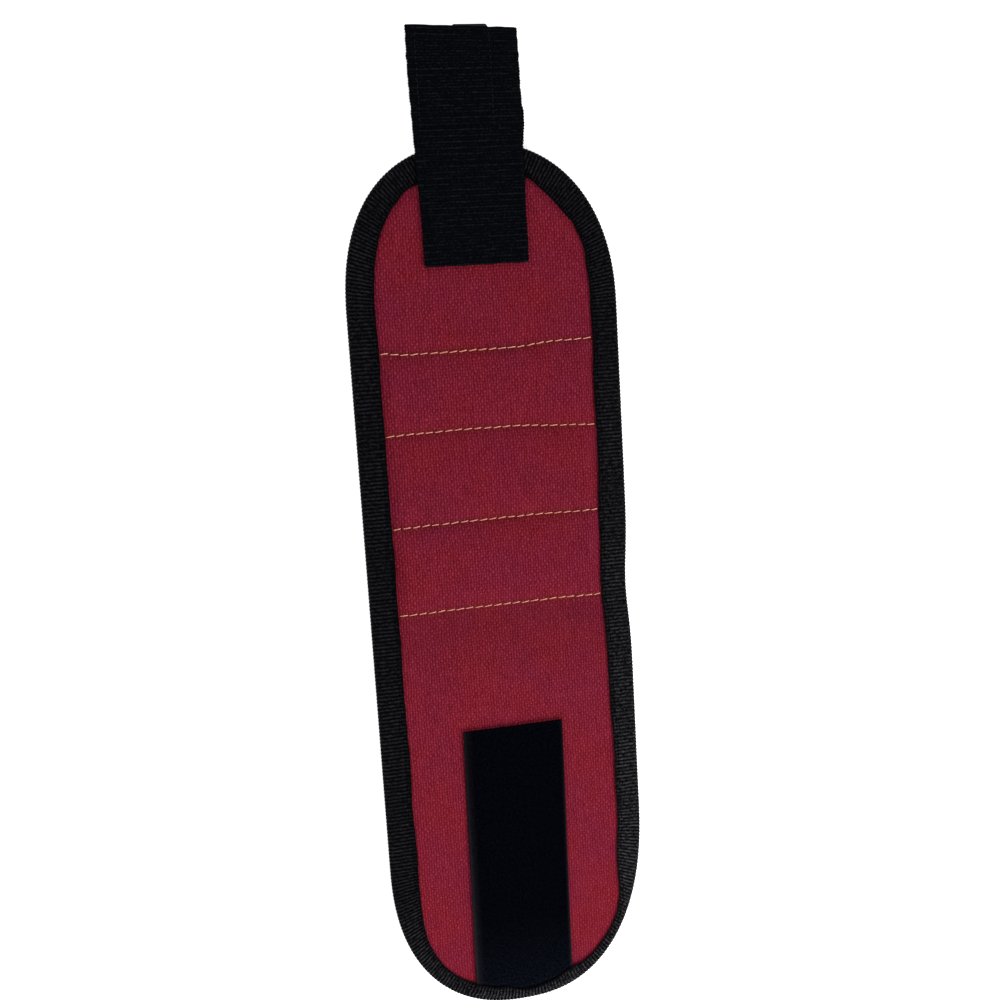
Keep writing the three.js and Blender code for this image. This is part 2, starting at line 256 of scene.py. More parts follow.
class Fold:
    """A fold across the band, with the slice of cloth round it."""

    def __init__(self, joint, low, high, start, end):
        self.name = joint["name"]
        self.y = joint["pos_m"][1]
        self.low, self.high = low, high
        self.start, self.end = start, end

    def bend(self, piece):
        """Bakes the piece's placing into its points; it does not blend the piece across the fold."""
        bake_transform(piece)

    def rows(self, step):
        """Evenly spaced places along the canvas or the lining in this slice, as a column."""
        start = max(self.start, LOOP_TIP + CANVAS_EDGE + TIP_GAP)
        end = min(self.end, STRAP_END - CANVAS_EDGE - TIP_GAP)
        return np.linspace(start, end, round((end - start) / step) + 1)[:, None]


def folds_of_band():
    """The eight folds from the loop end on. Their slices meet halfway between two folds."""
    joints = {frozenset((j["parent"], j["child"])): j for j in frame["joints"]}
    pairs = list(zip(STRETCHES, STRETCHES[1:]))
    places = [joints[frozenset(pair)]["pos_m"][1] for pair in pairs]
    middles = [(a + b) / 2 for a, b in zip(places, places[1:])]
    starts, ends = [LOOP_TIP] + middles, middles + [STRAP_END]
    return [
        Fold(joints[frozenset(pair)], *pair, start, end)
        for pair, start, end in zip(pairs, starts, ends)
    ]


def shell(outer, inner, across, along):
    """Points, faces and flat places of a cloth with two sides. The sides are grids of points, row by
    row along the band, and a wall joins their edges. The flat places are in millimetres."""
    rows, columns = outer.shape[:2]
    count = rows * columns
    index = np.arange(count).reshape(rows, columns)
    side = np.stack([index[:-1, :-1], index[:-1, 1:], index[1:, 1:], index[1:, :-1]], -1)
    side = side.reshape(-1, 4)
    rim = np.concatenate([index[0, :-1], index[:-1, -1], index[-1, :0:-1], index[:0:-1, 0]])
    after = np.roll(rim, -1)
    wall = np.stack([after, rim, rim + count, after + count], -1)
    points = np.concatenate([outer.reshape(-1, 3), inner.reshape(-1, 3)])
    flat = np.stack(np.broadcast_arrays(across, along), -1).reshape(-1, 2) * 1000
    return points, [side, side[:, ::-1] + count, wall], np.concatenate([flat, flat])


def surface(x, y, height):
    """A grid of points from their places and heights, each of them a grid, a row or a column."""
    return np.stack(np.broadcast_arrays(x, y, height), -1)


def area_between(y, width):
    """Area of a flat cloth from its widths at places along it, by trapezia."""
    y, width = y.ravel(), width.ravel()
    return float((np.diff(y) * (width[1:] + width[:-1])).sum() / 2)


def flat_grid(y, left, right, columns):
    """Places across a flat cloth between its left and right edges, with its flat size and area."""
    width = right - left
    x = left + width * np.linspace(0, 1, columns)[None, :]
    return x, (float(width.max()), float(y[-1, 0] - y[0, 0])), area_between(y, width)


def add_piece(name, material, parts, crease=50):
    """A mesh of one or more closed parts, shaded smooth up to the crease angle in degrees. A part
    is its points, its faces and its flat places. One that comes out inside out is turned."""
    points, faces, flat, base = [], [], [], 0
    for part_points, part_faces, part_flat in parts:
        first = np.concatenate([np.stack([f[:, 0], f[:, i], f[:, i + 1]], -1)
                                for f in part_faces for i in range(1, f.shape[1] - 1)])
        a, b, c = (part_points[first[:, i]] for i in range(3))
        flipped = (a * np.cross(b, c)).sum() < 0
        for group in part_faces:
            faces += ((group[:, ::-1] if flipped else group) + base).tolist()
        points.append(part_points)
        flat.append(part_flat)
        base += len(part_points)
    mesh = bpy.data.meshes.new(name)
    mesh.from_pydata(settle(np.concatenate(points)).tolist(), [], faces)
    corners = np.zeros(len(mesh.loops), np.int32)
    mesh.loops.foreach_get("vertex_index", corners)
    layer = mesh.uv_layers.new(name="cloth")
    layer.uv.foreach_set("vector", np.concatenate(flat)[corners].astype(np.float32).ravel())
    mesh.shade_smooth()
    mesh.set_sharp_from_angle(angle=math.radians(crease))
    mesh.materials.append(material)
    piece = bpy.data.objects.new(name, mesh)
    bpy.context.scene.collection.objects.link(piece)
    return piece


class Wire:
    """A number, colour or vector on its way through a material. Sums on it add Math nodes."""

    def __init__(self, tree, socket):
        self.tree, self.socket = tree, socket

    def math(self, operation, *others, first=None):
        node = self.tree.nodes.new("ShaderNodeMath")
        node.operation = operation
        for socket, value in zip(node.inputs, [self if first is None else first, *others]):
            feed(self.tree, socket, value)
        return Wire(self.tree, node.outputs[0])

    def __add__(self, other):
        return self.math("ADD", other)

    def __sub__(self, other):
        return self.math("SUBTRACT", other)

    def __rsub__(self, other):
        return self.math("SUBTRACT", self, first=other)

    def __mul__(self, other):
        return self.math("MULTIPLY", other)

    def __truediv__(self, other):
        return self.math("DIVIDE", other)

    def __pow__(self, other):
        return self.math("POWER", other)

    __radd__ = __add__
    __rmul__ = __mul__


def feed(tree, socket, value):
    """Links a wire into a socket, or sets the socket to a number, colour or vector."""
    if isinstance(value, Wire):
        tree.links.new(value.socket, socket)
    else:
        socket.default_value = value


class Finish:
    """A material on one Principled shader. Its constants are set on the shader's own sockets."""

    def __init__(self, name, constants):
        self.material = bpy.data.materials.new(name)
        self.material.use_nodes = True
        self.tree = self.material.node_tree
        self.shader = self.tree.nodes["Principled BSDF"]
        for socket, value in constants.items():
            self.shader.inputs[socket].default_value = value

    def node(self, kind, settings, sockets, output=0):
        """A node of any other type, with its settings set before its sockets."""
        node = self.tree.nodes.new("ShaderNode" + kind)
        for key, value in settings.items():
            setattr(node, key, value)
        for key, value in sockets.items():
            feed(self.tree, node.inputs[key], value)
        return Wire(self.tree, node.outputs[output])

    def flat_place(self):
        """The place on the flat cloth as a vector, in millimetres."""
        return self.node("UVMap", {"uv_map": "cloth"}, {})

    def across_and_along(self, place):
        """The two parts of a flat place."""
        return [self.node("SeparateXYZ", {}, {"Vector": place}, i) for i in (0, 1)]

    def noise(self, place, scale, detail=2, rough=0.5):
        """Cloudy noise from 0 to 1."""
        sockets = {"Vector": place, "Scale": scale, "Detail": detail, "Roughness": rough}
        return self.node("TexNoise", {}, sockets)

    def mix(self, first, second, share, how="MIX"):
        """One colour over another by a share."""
        settings = {"data_type": "RGBA", "blend_type": how}
        return self.node("Mix", settings, {0: share, 6: first, 7: second}, 2)

    def grade(self, value, low, high):
        """A value brought to run from 0 at low to 1 at high, and held there."""
        sockets = {"Value": value, "From Min": low, "From Max": high}
        return self.node("MapRange", {"clamp": True}, sockets)

    def emboss(self, height, depth, strength):
        """Sets the shader's normal from a height that runs from 0 to 1 over that depth in metres."""
        sockets = {"Height": height, "Distance": depth, "Strength": strength}
        self.set("Normal", self.node("Bump", {}, sockets))

    def set(self, socket, value):
        feed(self.tree, self.shader.inputs[socket], value)


def seen(red, green, blue):
    """A colour as a screen shows it, from 0 to 255, as the linear colour that a shader takes."""
    parts = [v / 255 for v in (red, green, blue)]
    linear = [v / 12.92 if v <= 0.04045 else ((v + 0.055) / 1.055) ** 2.4 for v in parts]
    return (*linear, 1.0)


def red_canvas():
    """Plain weave: 1 mm to an upright yarn and 1.1 mm to a level one. A yarn has a painted highlight
    where it lies on top and along its crown, and painted shade between yarns. Crossings and whole yarns
    differ a little in shade, and broad soft patches lean to magenta or to scarlet. Painted shade browns
    the dip beside each row, is darkest just beyond the last one, and deepens a little towards the strap
    end."""
    red = Finish("red_canvas", {"Specular IOR Level": 0.09})
    place = red.flat_place()
    u, v = red.across_and_along(place)
    wobble = (red.noise(place, 0.20) - 0.5) * 0.9
    slide = red.node("TexNoise", {}, {"Vector": place, "Scale": 0.7, "Detail": 1}, 1)
    slide = [(red.node("SeparateColor", {}, {"Color": slide}, i) - 0.5) * 1.1 for i in (0, 1)]
    across, along = (u + wobble + slide[0]) / 1.0, (v + wobble + slide[1]) / 1.1
    warp = (across * math.pi).math("SINE")
    weft = (along * math.pi).math("SINE")
    crown, level = warp.math("ABSOLUTE"), weft.math("ABSOLUTE")
    over, under = (crown + warp * weft) * 0.5, (level - warp * weft) * 0.5
    weave = over.math("MAXIMUM", under)
    cell = red.node("CombineXYZ", {}, {"X": across.math("FLOOR"), "Y": along.math("FLOOR")})
    crossing = red.node("TexWhiteNoise", {"noise_dimensions": "2D"}, {"Vector": cell})
    fuzz = red.noise(place, 3.0, 3, 0.7)
    slubs = red.noise(place, 1.3, 2, 0.6)
    streak = red.node("Mapping", {}, {"Vector": place, "Scale": (0.9, 0.12, 1)})
    yarns = red.noise(streak, 1.0, 2)
    patches = red.grade(red.noise(place, 0.042, 2), 0.38, 0.62)
    blotches = red.grade(red.noise(place, 0.12, 3), 0.35, 0.65)
    warm = red.mix(seen(114, 13, 29), seen(107, 13, 40), patches)
    toned = red.mix(warm, seen(97, 9, 26), blotches * 0.25)
    ridge = crown ** 1.3 * 0.40 + (warp * weft) * 0.13 + level * 0.15
    worn = red.grade(v, -40, -140) * 0.22
    shade = ridge + crossing * 0.12 + yarns * 0.26 + fuzz * 0.20 + slubs * 0.38
    shade = shade * (1 - worn) + worn * 0.80
    # Painted shade between yarns and a painted highlight on their crowns.
    dark = red.mix(seen(62, 3, 12), toned, red.grade(shade, 0.32, 0.82))
    woven = red.mix(dark, seen(148, 52, 70), red.grade(shade, 0.74, 1.20) * 0.62)
    # Painted shade, darkest just beyond the last row and a little deeper towards the strap end.
    painted_shade = red.grade(v, -58, -27) * red.grade(v, -23, -26) * 0.20 + red.grade(v, -60, 30) * 0.07
    # Painted shade in the dip along each row, read from the near_row attribute.
    dip = red.node("Attribute", {"attribute_name": "near_row"}, {}, 2)
    row_shaded = red.mix(woven, (0.72, 1.0, 0.42, 1), dip * 0.9, "MULTIPLY")
    red.set("Base Color", red.mix(row_shaded, seen(50, 3, 10), painted_shade))
    red.set("Roughness", 0.80 + fuzz * 0.18)
    red.emboss(weave * 0.65 + slubs * 0.15 + fuzz * 0.25, 0.00036, 0.8)
    return red.material


canvas_finish = red_canvas()
band_folds = folds_of_band()
canvas_columns = round(2 * HALF_BAND / CANVAS_STEP)
for fold in band_folds:
    y = fold.rows(CANVAS_STEP)
    left, right = edge(y, -1, CANVAS_EDGE), edge(y, 1, CANVAS_EDGE)
    x, flat_size, area = flat_grid(y, left, right, canvas_columns)
    height = canvas_top(x, y)
    top, bottom = surface(x, y, height), surface(x, y, height - CANVAS_THICKNESS)
    slice_piece = add_piece(f"canvas_{fold.name}", canvas_finish, [shell(top, bottom, x, y)])
    # The near_row attribute carries painted shade along the rows for the canvas material.
    dip = slice_piece.data.attributes.new("near_row", "FLOAT", "POINT")
    dip.data.foreach_set("value", np.tile(near_row(x, y).ravel(), 2).astype(np.float32))
    fold.bend(slice_piece)
    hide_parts(f"front_{fold.low}", f"front_{fold.high}")

# Lining. One panel of thin black warp knit on the wrist's side, cut like the canvas and caught in the
# same binding. The rows of stitching dimple it from below, and the magnets lie between the two cloths.
LINING_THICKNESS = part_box("lining_lower_plain")[0].z + 0.0007
LINING_RIM, LINING_RAMP = 0.0009, 0.0030
LINING_LOW, LINING_WAVES = 0.00012, 0.00010
LINING_STEP = 0.0011
GROOVE_WIDTH, GROOVE_DEPTH = 0.0030, 0.00075


def lining_bottom(x, y):
    """Height of the lining's underside: on the ground in mid band, up at the binding, where its back
    flap reaches under it, and pulled up in a soft groove along each row of stitching."""
    margin = inside(x, y, BINDING_REACH)
    height = LINING_LOW + LINING_WAVES * unevenness(x, y, 0.024, 21)
    for row in ROWS:
        away = (y - row_line(row, x)) / GROOVE_WIDTH
        height = height + GROOVE_DEPTH * np.exp(-away * away)
    return LINING_RIM + (height - LINING_RIM) * ease((margin - 0.0002) / LINING_RAMP)


def black_lining():
    """Warp knit: rows of small stitches in staggered columns, 1.3 mm apart, that leave fine holes."""
    knit = Finish("black_lining", {"Specular IOR Level": 0.12, "Sheen Weight": 0.05})
    place = knit.flat_place()
    u, v = knit.across_and_along(place)
    column = (u * (math.pi / 1.3)).math("SINE")
    course = (v * (math.pi / 0.9) + column * 0.6).math("SINE")
    holes = knit.grade(column.math("ABSOLUTE") * course.math("ABSOLUTE"), 0.12, 0.55)
    fuzz = knit.noise(place, 3.0, 3, 0.6)
    wear = knit.grade(knit.noise(place, 0.06, 2), 0.40, 0.70)
    worn = knit.mix(seen(17, 17, 19), seen(30, 30, 33), wear)
    knit.set("Base Color", knit.mix(seen(5, 5, 6), worn, holes))
    knit.set("Roughness", 0.70 + fuzz * 0.25)
    knit.emboss(holes * 0.8 + fuzz * 0.3, 0.0003, 0.8)
    return knit.material


lining_finish = black_lining()
lining_columns = round(2 * HALF_BAND / LINING_STEP)
for fold in band_folds:
    y = fold.rows(LINING_STEP)
    left, right = edge(y, -1, CANVAS_EDGE), edge(y, 1, CANVAS_EDGE)
    x, flat_size, area = flat_grid(y, left, right, lining_columns)
    height = lining_bottom(x, y)
    top, bottom = surface(x, y, height + LINING_THICKNESS), surface(x, y, height)
    slice_piece = add_piece(f"lining_{fold.name}", lining_finish, [shell(top, bottom, x, y)])
    fold.bend(slice_piece)
    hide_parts(f"lining_{fold.low}", f"lining_{fold.high}")

# Binding. One length of black grosgrain tape, folded in half over the cut edges of canvas and lining
# and sewn through all of them. Its ribs run across it and fan out round the ends. Its front flap is
# narrower round both ends, most at the right of the loop end, and rides up over the loop patch.
TAPE_THICKNESS = 0.0007
TAPE_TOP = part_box("binding_right_pocket_2")[1].z
BRIDGE_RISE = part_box("binding_loop_end")[1].z - TAPE_TOP
BRIDGE_BEYOND, BRIDGE_SIDE, BRIDGE_START, BRIDGE_RAMP = 0.0016, 0.0014, 0.0012, 0.0026
SEAM_GROOVE, SEAM_GROOVE_WIDTH = 0.00016, 0.0006
FLAP_FALL, FALL_RAMP = 0.00012, 0.0005
FLAP_LIFT, LIFT_RAMP = 0.00010, 0.0045
BACK_LEVEL = 0.00004
REACH_WANDER = ((0.00022, 0.030, 32), (0.00010, 0.009, 33))
RIB_WEAR, WEAR_REACH = 0.45, 0.0004
EDGE_THINNING, THINNING_REACH = 0.00018, 0.0003
RIB_PITCH = 0.00142
RIB_DEPTH = 0.00020
RIB_STEPS = 5
END_POINTS = 1500
TURN_POINTS = 11
BACK_SHARES = (0, 0.06, 0.15, 0.4, 0.7)
FRONT_SHARES = (0.12, 0.25, 0.38, 0.5, 0.6, 0.68, 0.75, 0.81, 0.86, 0.91, 0.96, 1.0)
SEAM_FROM_EDGE = 0.0017
PATCH_HALF = 0.0193
PATCH_LEAN = 0.0135
PATCH_LONG = 0.0016
PATCH_SHIFT = 0.0002
patch_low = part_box("patch_loop_end")[0]
patch_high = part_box("patch_loop_top")[1] + Vector((0, PATCH_LONG, 0))


def patch_place(x, y):
    """Where a place lies across the loop patch, from -PATCH_HALF to PATCH_HALF: the patch leans a
    little, with its upper end to the right."""
    middle = (patch_low.x + patch_high.x) / 2
    return x - middle - PATCH_LEAN * (y - patch_high.y) + PATCH_SHIFT


def tape_path():
    """The band's edge once round, from the strap end's right corner over to the left, down, and back
    up the right, in even steps, so that a whole number of ribs closes it. Each row: x, y, and the
    way out from the middle."""
    quarters = []
    for side, end in ((1, 1), (-1, 1), (-1, -1), (1, -1)):
        angle = np.linspace(0, math.pi / 2, END_POINTS)[:: side * end]
        tip = STRAP_END if end == 1 else LOOP_TIP
        _, length, roundness = quarter(np.array(side), np.array(tip))
        across = side * np.cos(angle) ** (2 / roundness)
        along = end * np.sin(angle) ** (2 / roundness)
        x, y = HALF_BAND * across, tip + length * (along - end)
        quarters.append(np.stack([x, y, across, along], -1))
    line = np.concatenate(quarters + [quarters[0][:1]])
    steps = np.hypot(*np.diff(line[:, :2], axis=0).T)
    run = np.concatenate([[0], np.cumsum(steps)])
    ribs = round(run[-1] / RIB_PITCH)
    places = np.linspace(0, run[-1], ribs * RIB_STEPS + 1)[:-1]
    return places, np.stack([np.interp(places, run, line[:, i]) for i in range(4)], -1)


def moved_in(path, inset):
    """Places on the path, moved in from the band's edge by the inset, as x and y."""
    return (path[:, i:i + 1] - inset * path[:, i + 2:i + 3] for i in (0, 1))


def seam_inset(reach):
    """How far in the binding's seam runs: 1.7 mm from the front flap's inner edge, or less where
    the flap is narrow."""
    return reach - np.minimum(SEAM_FROM_EDGE, 0.4 * reach)


def flap_shape(path, run, inset, reach):
    """Height of the front flap's top at some insets from the edge: flat, up over the patch's tongue,
    with a groove at its seam and a soft fall at its inner edge."""
    x, y = moved_in(path, inset)
    over = ease((PATCH_HALF + BRIDGE_BEYOND - np.abs(patch_place(x, y))) / BRIDGE_SIDE)
    over = over * ease((LOOP_TIP + LOOP_CURVE_LEFT / 2 - y) / 0.002)
    height = TAPE_TOP + BRIDGE_RISE * over * ease((inset - BRIDGE_START) / BRIDGE_RAMP)
    groove = np.exp(-(((inset - seam_inset(reach)) / SEAM_GROOVE_WIDTH) ** 2))
    height = height - SEAM_GROOVE * groove
    height = height - FLAP_FALL * ease((inset - reach + FALL_RAMP) / FALL_RAMP)
    lift = unevenness(run, 0, 0.013, 31) * ease((inset - reach + LIFT_RAMP) / LIFT_RAMP)
    return height + FLAP_LIFT * lift


def tape_reach(path, run):
    """How far in the front flap reaches, with the small wander of a hand-fed binder."""
    reach = BINDING_REACH - narrowing(path[:, :1], path[:, 1:2])
    for height, size, seed in REACH_WANDER:
        reach = reach + height * unevenness(run, 0, size, seed)
    return reach


def tape_surfaces(path, run, ribs):
    """Outer and inner sides of the folded tape along a stretch of its path. The section runs from
    the back flap's edge out to the fold, half round it, and in along the front flap."""
    bend = TAPE_TOP / 2
    reach = tape_reach(path, run)
    back = BINDING_REACH + (bend - BINDING_REACH) * np.array([BACK_SHARES])
    turn = np.linspace(-math.pi / 2, math.pi / 2, TURN_POINTS)[None, :]
    front = bend + (reach - bend) * np.array([FRONT_SHARES])
    round_in = bend * (1 - np.cos(turn)) + 0 * run
    round_up = bend * (1 + np.sin(turn)) + 0 * run
    inset = np.concatenate([back + 0 * run, round_in, front], 1)
    back_up = BACK_LEVEL + 0 * back + 0 * run
    up = np.concatenate([back_up, round_up, flap_shape(path, run, front, reach)], 1)
    slope_in, slope_up = np.gradient(inset, axis=1), np.gradient(up, axis=1)
    length = np.hypot(slope_in, slope_up)
    out_in, out_up = -slope_up / length, slope_in / length
    across = np.cumsum(np.hypot(np.diff(inset, axis=1, prepend=inset[:, :1]),
                                np.diff(up, axis=1, prepend=up[:, :1])), 1)
    from_edge = np.minimum(across, across[:, -1:] - across)
    worn = 1 - RIB_WEAR * np.exp(-from_edge / WEAR_REACH)
    outside = -RIB_DEPTH * ribs * worn
    inside_out = -TAPE_THICKNESS + EDGE_THINNING * np.exp(-from_edge / THINNING_REACH)
    sides = []
    for offset in (outside, inside_out):
        x, y = moved_in(path, inset + offset * out_in)
        sides.append(surface(x, y, np.maximum(up + offset * out_up, 0)))
    return *sides, across


def black_grosgrain(name, pitch, alternate, ribbing, run, deep, light, lit_crest, rim):
    """Grosgrain or webbing: ribs at that pitch along it, wrapped in fine warp yarns that step by
    half a yarn from rib to rib. The ribs carry a painted highlight on their crowns, in streaks of that
    run in millimetres, and show less where the tape has been pressed flat. Painted light brightens
    the binding from the loop end's left on and up its right side, and painted shadow darkens its front
    edge."""
    black = Finish(name, {"Specular IOR Level": 0.02})
    place = black.flat_place()
    u, v = black.across_and_along(place)
    wave = (v * (math.pi / pitch)).math("SINE")
    crown = wave.math("ABSOLUTE") * (1 - alternate + wave * alternate)
    fuzz = black.noise(place, 2.6, 3, 0.65)
    step = (v / pitch).math("FLOOR") * 0.5
    yarn = ((u / 0.42 + step + fuzz) * math.pi).math("SINE").math("ABSOLUTE")
    pressed = black.grade(black.noise(place, 0.035, 2), 0.45, 0.70)
    streak = black.node("Mapping", {}, {"Vector": place, "Scale": (1 / run, 1.0, 1)})
    loose = black.grade(black.noise(streak, 0.9, 3, 0.7), 0.35, 0.72)
    grain = black.grade(black.noise(place, 1.2, 2, 0.6), 0.35, 0.65)
    ridge = black.grade(crown, 0.25, 1.0) ** 1.5 * (1 - pressed * 0.55) + pressed * 0.2
    shade = ridge * ribbing * (0.65 + yarn * 0.35) * (0.35 + loose * 1.1) + loose * 0.12
    shade = shade + grain * 0.36 + fuzz * 0.24
    # Painted light: crowns lighter from the loop end's left on and up the right side, as if lit from
    # the lower right.
    painted_light = black.grade(v, 395, 475) * black.grade(v, 770, 540)
    crest = black.mix(seen(*light), seen(*lit_crest), painted_light)
    # Painted shade between the ribs and a painted highlight on their crowns.
    woven = black.mix(seen(*deep), crest, black.grade(shade, 0.44, 1.24))
    # Painted shadow along the tape's front edge, where the flap meets the canvas.
    black.set("Base Color", black.mix(woven, seen(2, 2, 3), black.grade(u, 1.5, 0.3) * rim))
    black.set("Roughness", 0.52 + fuzz * 0.30)
    black.emboss(crown * (0.45 * ribbing) + grain * 0.25 + yarn * 0.25 + fuzz * 0.35, 0.00028, 0.8)
    return black.material


tape_finish = black_grosgrain(
    "black_binding", pitch=1000 * RIB_PITCH, alternate=0.0, ribbing=0.6, run=1.8,
    deep=(2, 2, 4), light=(40, 40, 45), lit_crest=(74, 73, 76), rim=0.75
)
tape_runs, tape_line = tape_path()
tape_step = tape_runs[1]
rib_fall = 1 - np.abs(np.sin(math.pi * np.arange(RIB_STEPS) / RIB_STEPS)) ** 0.7
tape_ribs = np.tile(rib_fall, len(tape_runs) // RIB_STEPS)


def stretches_of_tape(fold):
    """The stretches of the tape's path in a fold's slice, as runs of steps that go on past the
    path's own start: both sides, or one stretch all round an end."""
    count = len(tape_line)
    y = tape_line[:, 1]
    here = np.flatnonzero((y >= fold.start - 1e-9) & (y < fold.end))
    breaks = np.flatnonzero(np.diff(here) > 1) + 1
    groups = [list(group) for group in np.split(here, breaks)]
    if len(groups) > 1 and groups[0][0] == 0 and groups[-1][-1] == count - 1:
        groups = [groups[-1] + [i + count for i in groups[0]]] + groups[1:-1]
    return [np.array(group + [group[-1] + 1]) for group in groups]


for fold in band_folds:
    parts, nodes, length, width, area = [], [], 0, 0, 0
    for steps in stretches_of_tape(fold):
        around = steps % len(tape_line)
        path, ribs = tape_line[around], tape_ribs[around][:, None]
        run = tape_runs[around][:, None]
        outer, inner, across = tape_surfaces(path, run, ribs)
        along = (steps * tape_step)[:, None]
        parts.append(shell(outer, inner, across[:, -1:] - across, along))
        length += tape_step * (len(steps) - 1)
        width = max(width, float(across[:, -1].max()))
        area += area_between(along, across[:, -1])
    for stretch in (fold.low, fold.high):
        whole = f"binding_{stretch}"
        sides = [f"binding_{side}_{stretch}" for side in ("left", "right")]
        nodes += [whole] if whole in frame["nodes"] else sides
    slice_piece = add_piece(f"binding_{fold.name}", tape_finish, parts)
    fold.bend(slice_piece)
    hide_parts(*nodes)

# Stitching. Lockstitch in twisted polyester thread: gold across the band at the four rows, and black
# round the binding, 3.6 mm to a stitch. Each stitch dips into the cloth at both its ends, and those
# across the band lie a little askew.
ROW_COUNT = 22
ROW_CLEAR = 0.0004
STITCH_SHARE = 0.83
STITCH_SKEW = 0.0003
ROW_THREAD = 0.00020
SEAM_THREAD = 0.00014
THREAD_RINGS = 7
THREAD_SIDES = 7
PLY_DEPTH = 0.16
TOP_ROW = {"lift": 0.00020, "dip": 0.00012}
UNDER_ROW = {"lift": -0.00012, "dip": -0.00016}
FRONT_SEAM = {"lift": 0.00005, "dip": 0.00022}
BACK_SEAM = {"lift": 0.00004, "dip": -0.0004}
BACK_SEAM_LEVEL = 0.00010


def walls(index, after):
    """Four-sided faces between each line of points and the line after it."""
    faces = [index[:, :-1], after[:, :-1], after[:, 1:], index[:, 1:]]
    return np.stack(faces, -1).reshape(-1, 4)


def tubes(paths, radius, sides, twist=0.0, taper=0.45):
    """Closed tubes along many short paths at once, round with a slight two-ply twist: the radius
    grows and shrinks twice round the tube, turning along it. Their ends taper."""
    count, rings = paths.shape[:2]
    way = np.gradient(paths, axis=1)
    way /= np.linalg.norm(way, axis=2, keepdims=True)
    side = np.cross(way, np.array([0.013, 0.021, 1.0]))
    side /= np.linalg.norm(side, axis=2, keepdims=True)
    up = np.cross(side, way)
    share = np.linspace(0, 1, rings)[None, :, None]
    angle = np.linspace(0, 2 * math.pi, sides, endpoint=False)[None, None, :]
    size = radius * (1 + PLY_DEPTH * np.cos(2 * (angle - twist * math.pi * share)))
    size = size * (1 - taper * np.abs(2 * share - 1) ** 6)
    cosine, sine = np.cos(angle)[..., None], np.sin(angle)[..., None]
    ring = size[..., None] * (cosine * side[:, :, None] + sine * up[:, :, None])
    points = (paths[:, :, None] + ring).reshape(-1, 3)
    index = np.arange(count * rings * sides).reshape(count, rings, sides)
    after = np.roll(index, -1, 2)
    flat = np.stack(np.broadcast_arrays(angle * radius, share * (rings * radius)), -1)
    flat = np.broadcast_to(flat, (count, rings, sides, 2)).reshape(-1, 2) * 1000
    return points, [walls(index, after), index[:, 0, ::-1], index[:, -1]], flat


def stitches(starts, ends, radius, lift, dip):
    """Stitches from start to end points: an arc that lies lift above the cloth in its middle and
    goes dip under it at both ends. On the wrist's side the dip is negative, and the ends go up."""
    share = np.linspace(0, 1, THREAD_RINGS)[None, :, None]
    line = starts[:, None] + (ends - starts)[:, None] * share
    rise = lift - (lift + dip) * np.abs(2 * share - 1) ** 5
    return tubes(line + rise * np.array([0, 0, 1.0]), radius, THREAD_SIDES, twist=2.2)


def row_end(row, side):
    """Where a row of stitching ends on one side: just short of the binding's front flap."""
    y = row_line(row, side * ROW_HALF)
    return edge(y, side, BINDING_REACH - narrowing(side * ROW_HALF, y) + ROW_CLEAR)


def thread(name, low, high, gloss=0.12):
    """Twisted thread with a soft shine, darker in the twist and with small flecks."""
    strand = Finish(name, {"Specular IOR Level": gloss})
    place = strand.flat_place()
    u, v = strand.across_and_along(place)
    ply = ((u * 2.0 + v * 1.6) * math.pi).math("SINE") * 0.5 + 0.5
    fuzz = strand.noise(place, 5.0, 2)
    strand.set("Base Color", strand.mix(low, high, ply * 0.7 + fuzz * 0.3))
    strand.set("Roughness", 0.45 + fuzz * 0.25)
    strand.emboss(ply, 0.00006, 0.6)
    return strand.material


gold_finish = thread("gold_thread", seen(190, 101, 82), seen(244, 176, 160))
black_finish = thread("black_thread", seen(2, 2, 4), seen(7, 7, 10), 0.01)
folds_by_name = {fold.name: fold for fold in band_folds}
for row in ROWS:
    dice = np.random.default_rng(40 + row)
    start, end = row_end(row, -1), row_end(row, 1)
    pitch = (end - start) / (ROW_COUNT - 1 + STITCH_SHARE)
    middles = (start + end) / 2 + (np.arange(ROW_COUNT) - (ROW_COUNT - 1) / 2) * pitch
    middles = middles + dice.normal(0, 0.00006, ROW_COUNT)
    lengths = pitch * (STITCH_SHARE + dice.normal(0, 0.025, ROW_COUNT))
    ends = []
    for way in (-0.5, 0.5):
        x = middles + way * lengths
        y = row_line(row, x) + way * STITCH_SKEW + dice.normal(0, 0.00005, ROW_COUNT)
        ends.append(surface(x, y, canvas_top(x, y)))
    above = stitches(*ends, ROW_THREAD, **TOP_ROW)
    below = [end + np.array([STITCH_PITCH / 2, 0, 0]) for end in ends]
    for end in below:
        end[:, 2] = lining_bottom(end[:, 0], end[:, 1])
    under = stitches(below[0][:-1], below[1][:-1], ROW_THREAD, **UNDER_ROW)
    row_piece = add_piece(f"row_{row}_stitches", gold_finish, [above, under])
    folds_by_name[f"fold_row_{row}"].bend(row_piece)
    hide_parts(f"stitch_row_{row}")


def on_seam(place, front):
    """Points on the binding's seam at some runs along the tape, on its front or its back flap."""
    whole = tape_step * len(tape_runs)
    place = place % whole
    path = np.stack([np.interp(place, tape_runs, part, period=whole) for part in tape_line.T], -1)
    run = place[:, None]
    reach = tape_reach(path, run)
    seam = seam_inset(reach)
    if front:
        height = flap_shape(path, run, seam, reach)
    else:
        seam = np.minimum(seam, BINDING_REACH - SEAM_FROM_EDGE)
        height = BACK_SEAM_LEVEL + 0 * seam
    return np.concatenate([*moved_in(path, seam), height], 1)


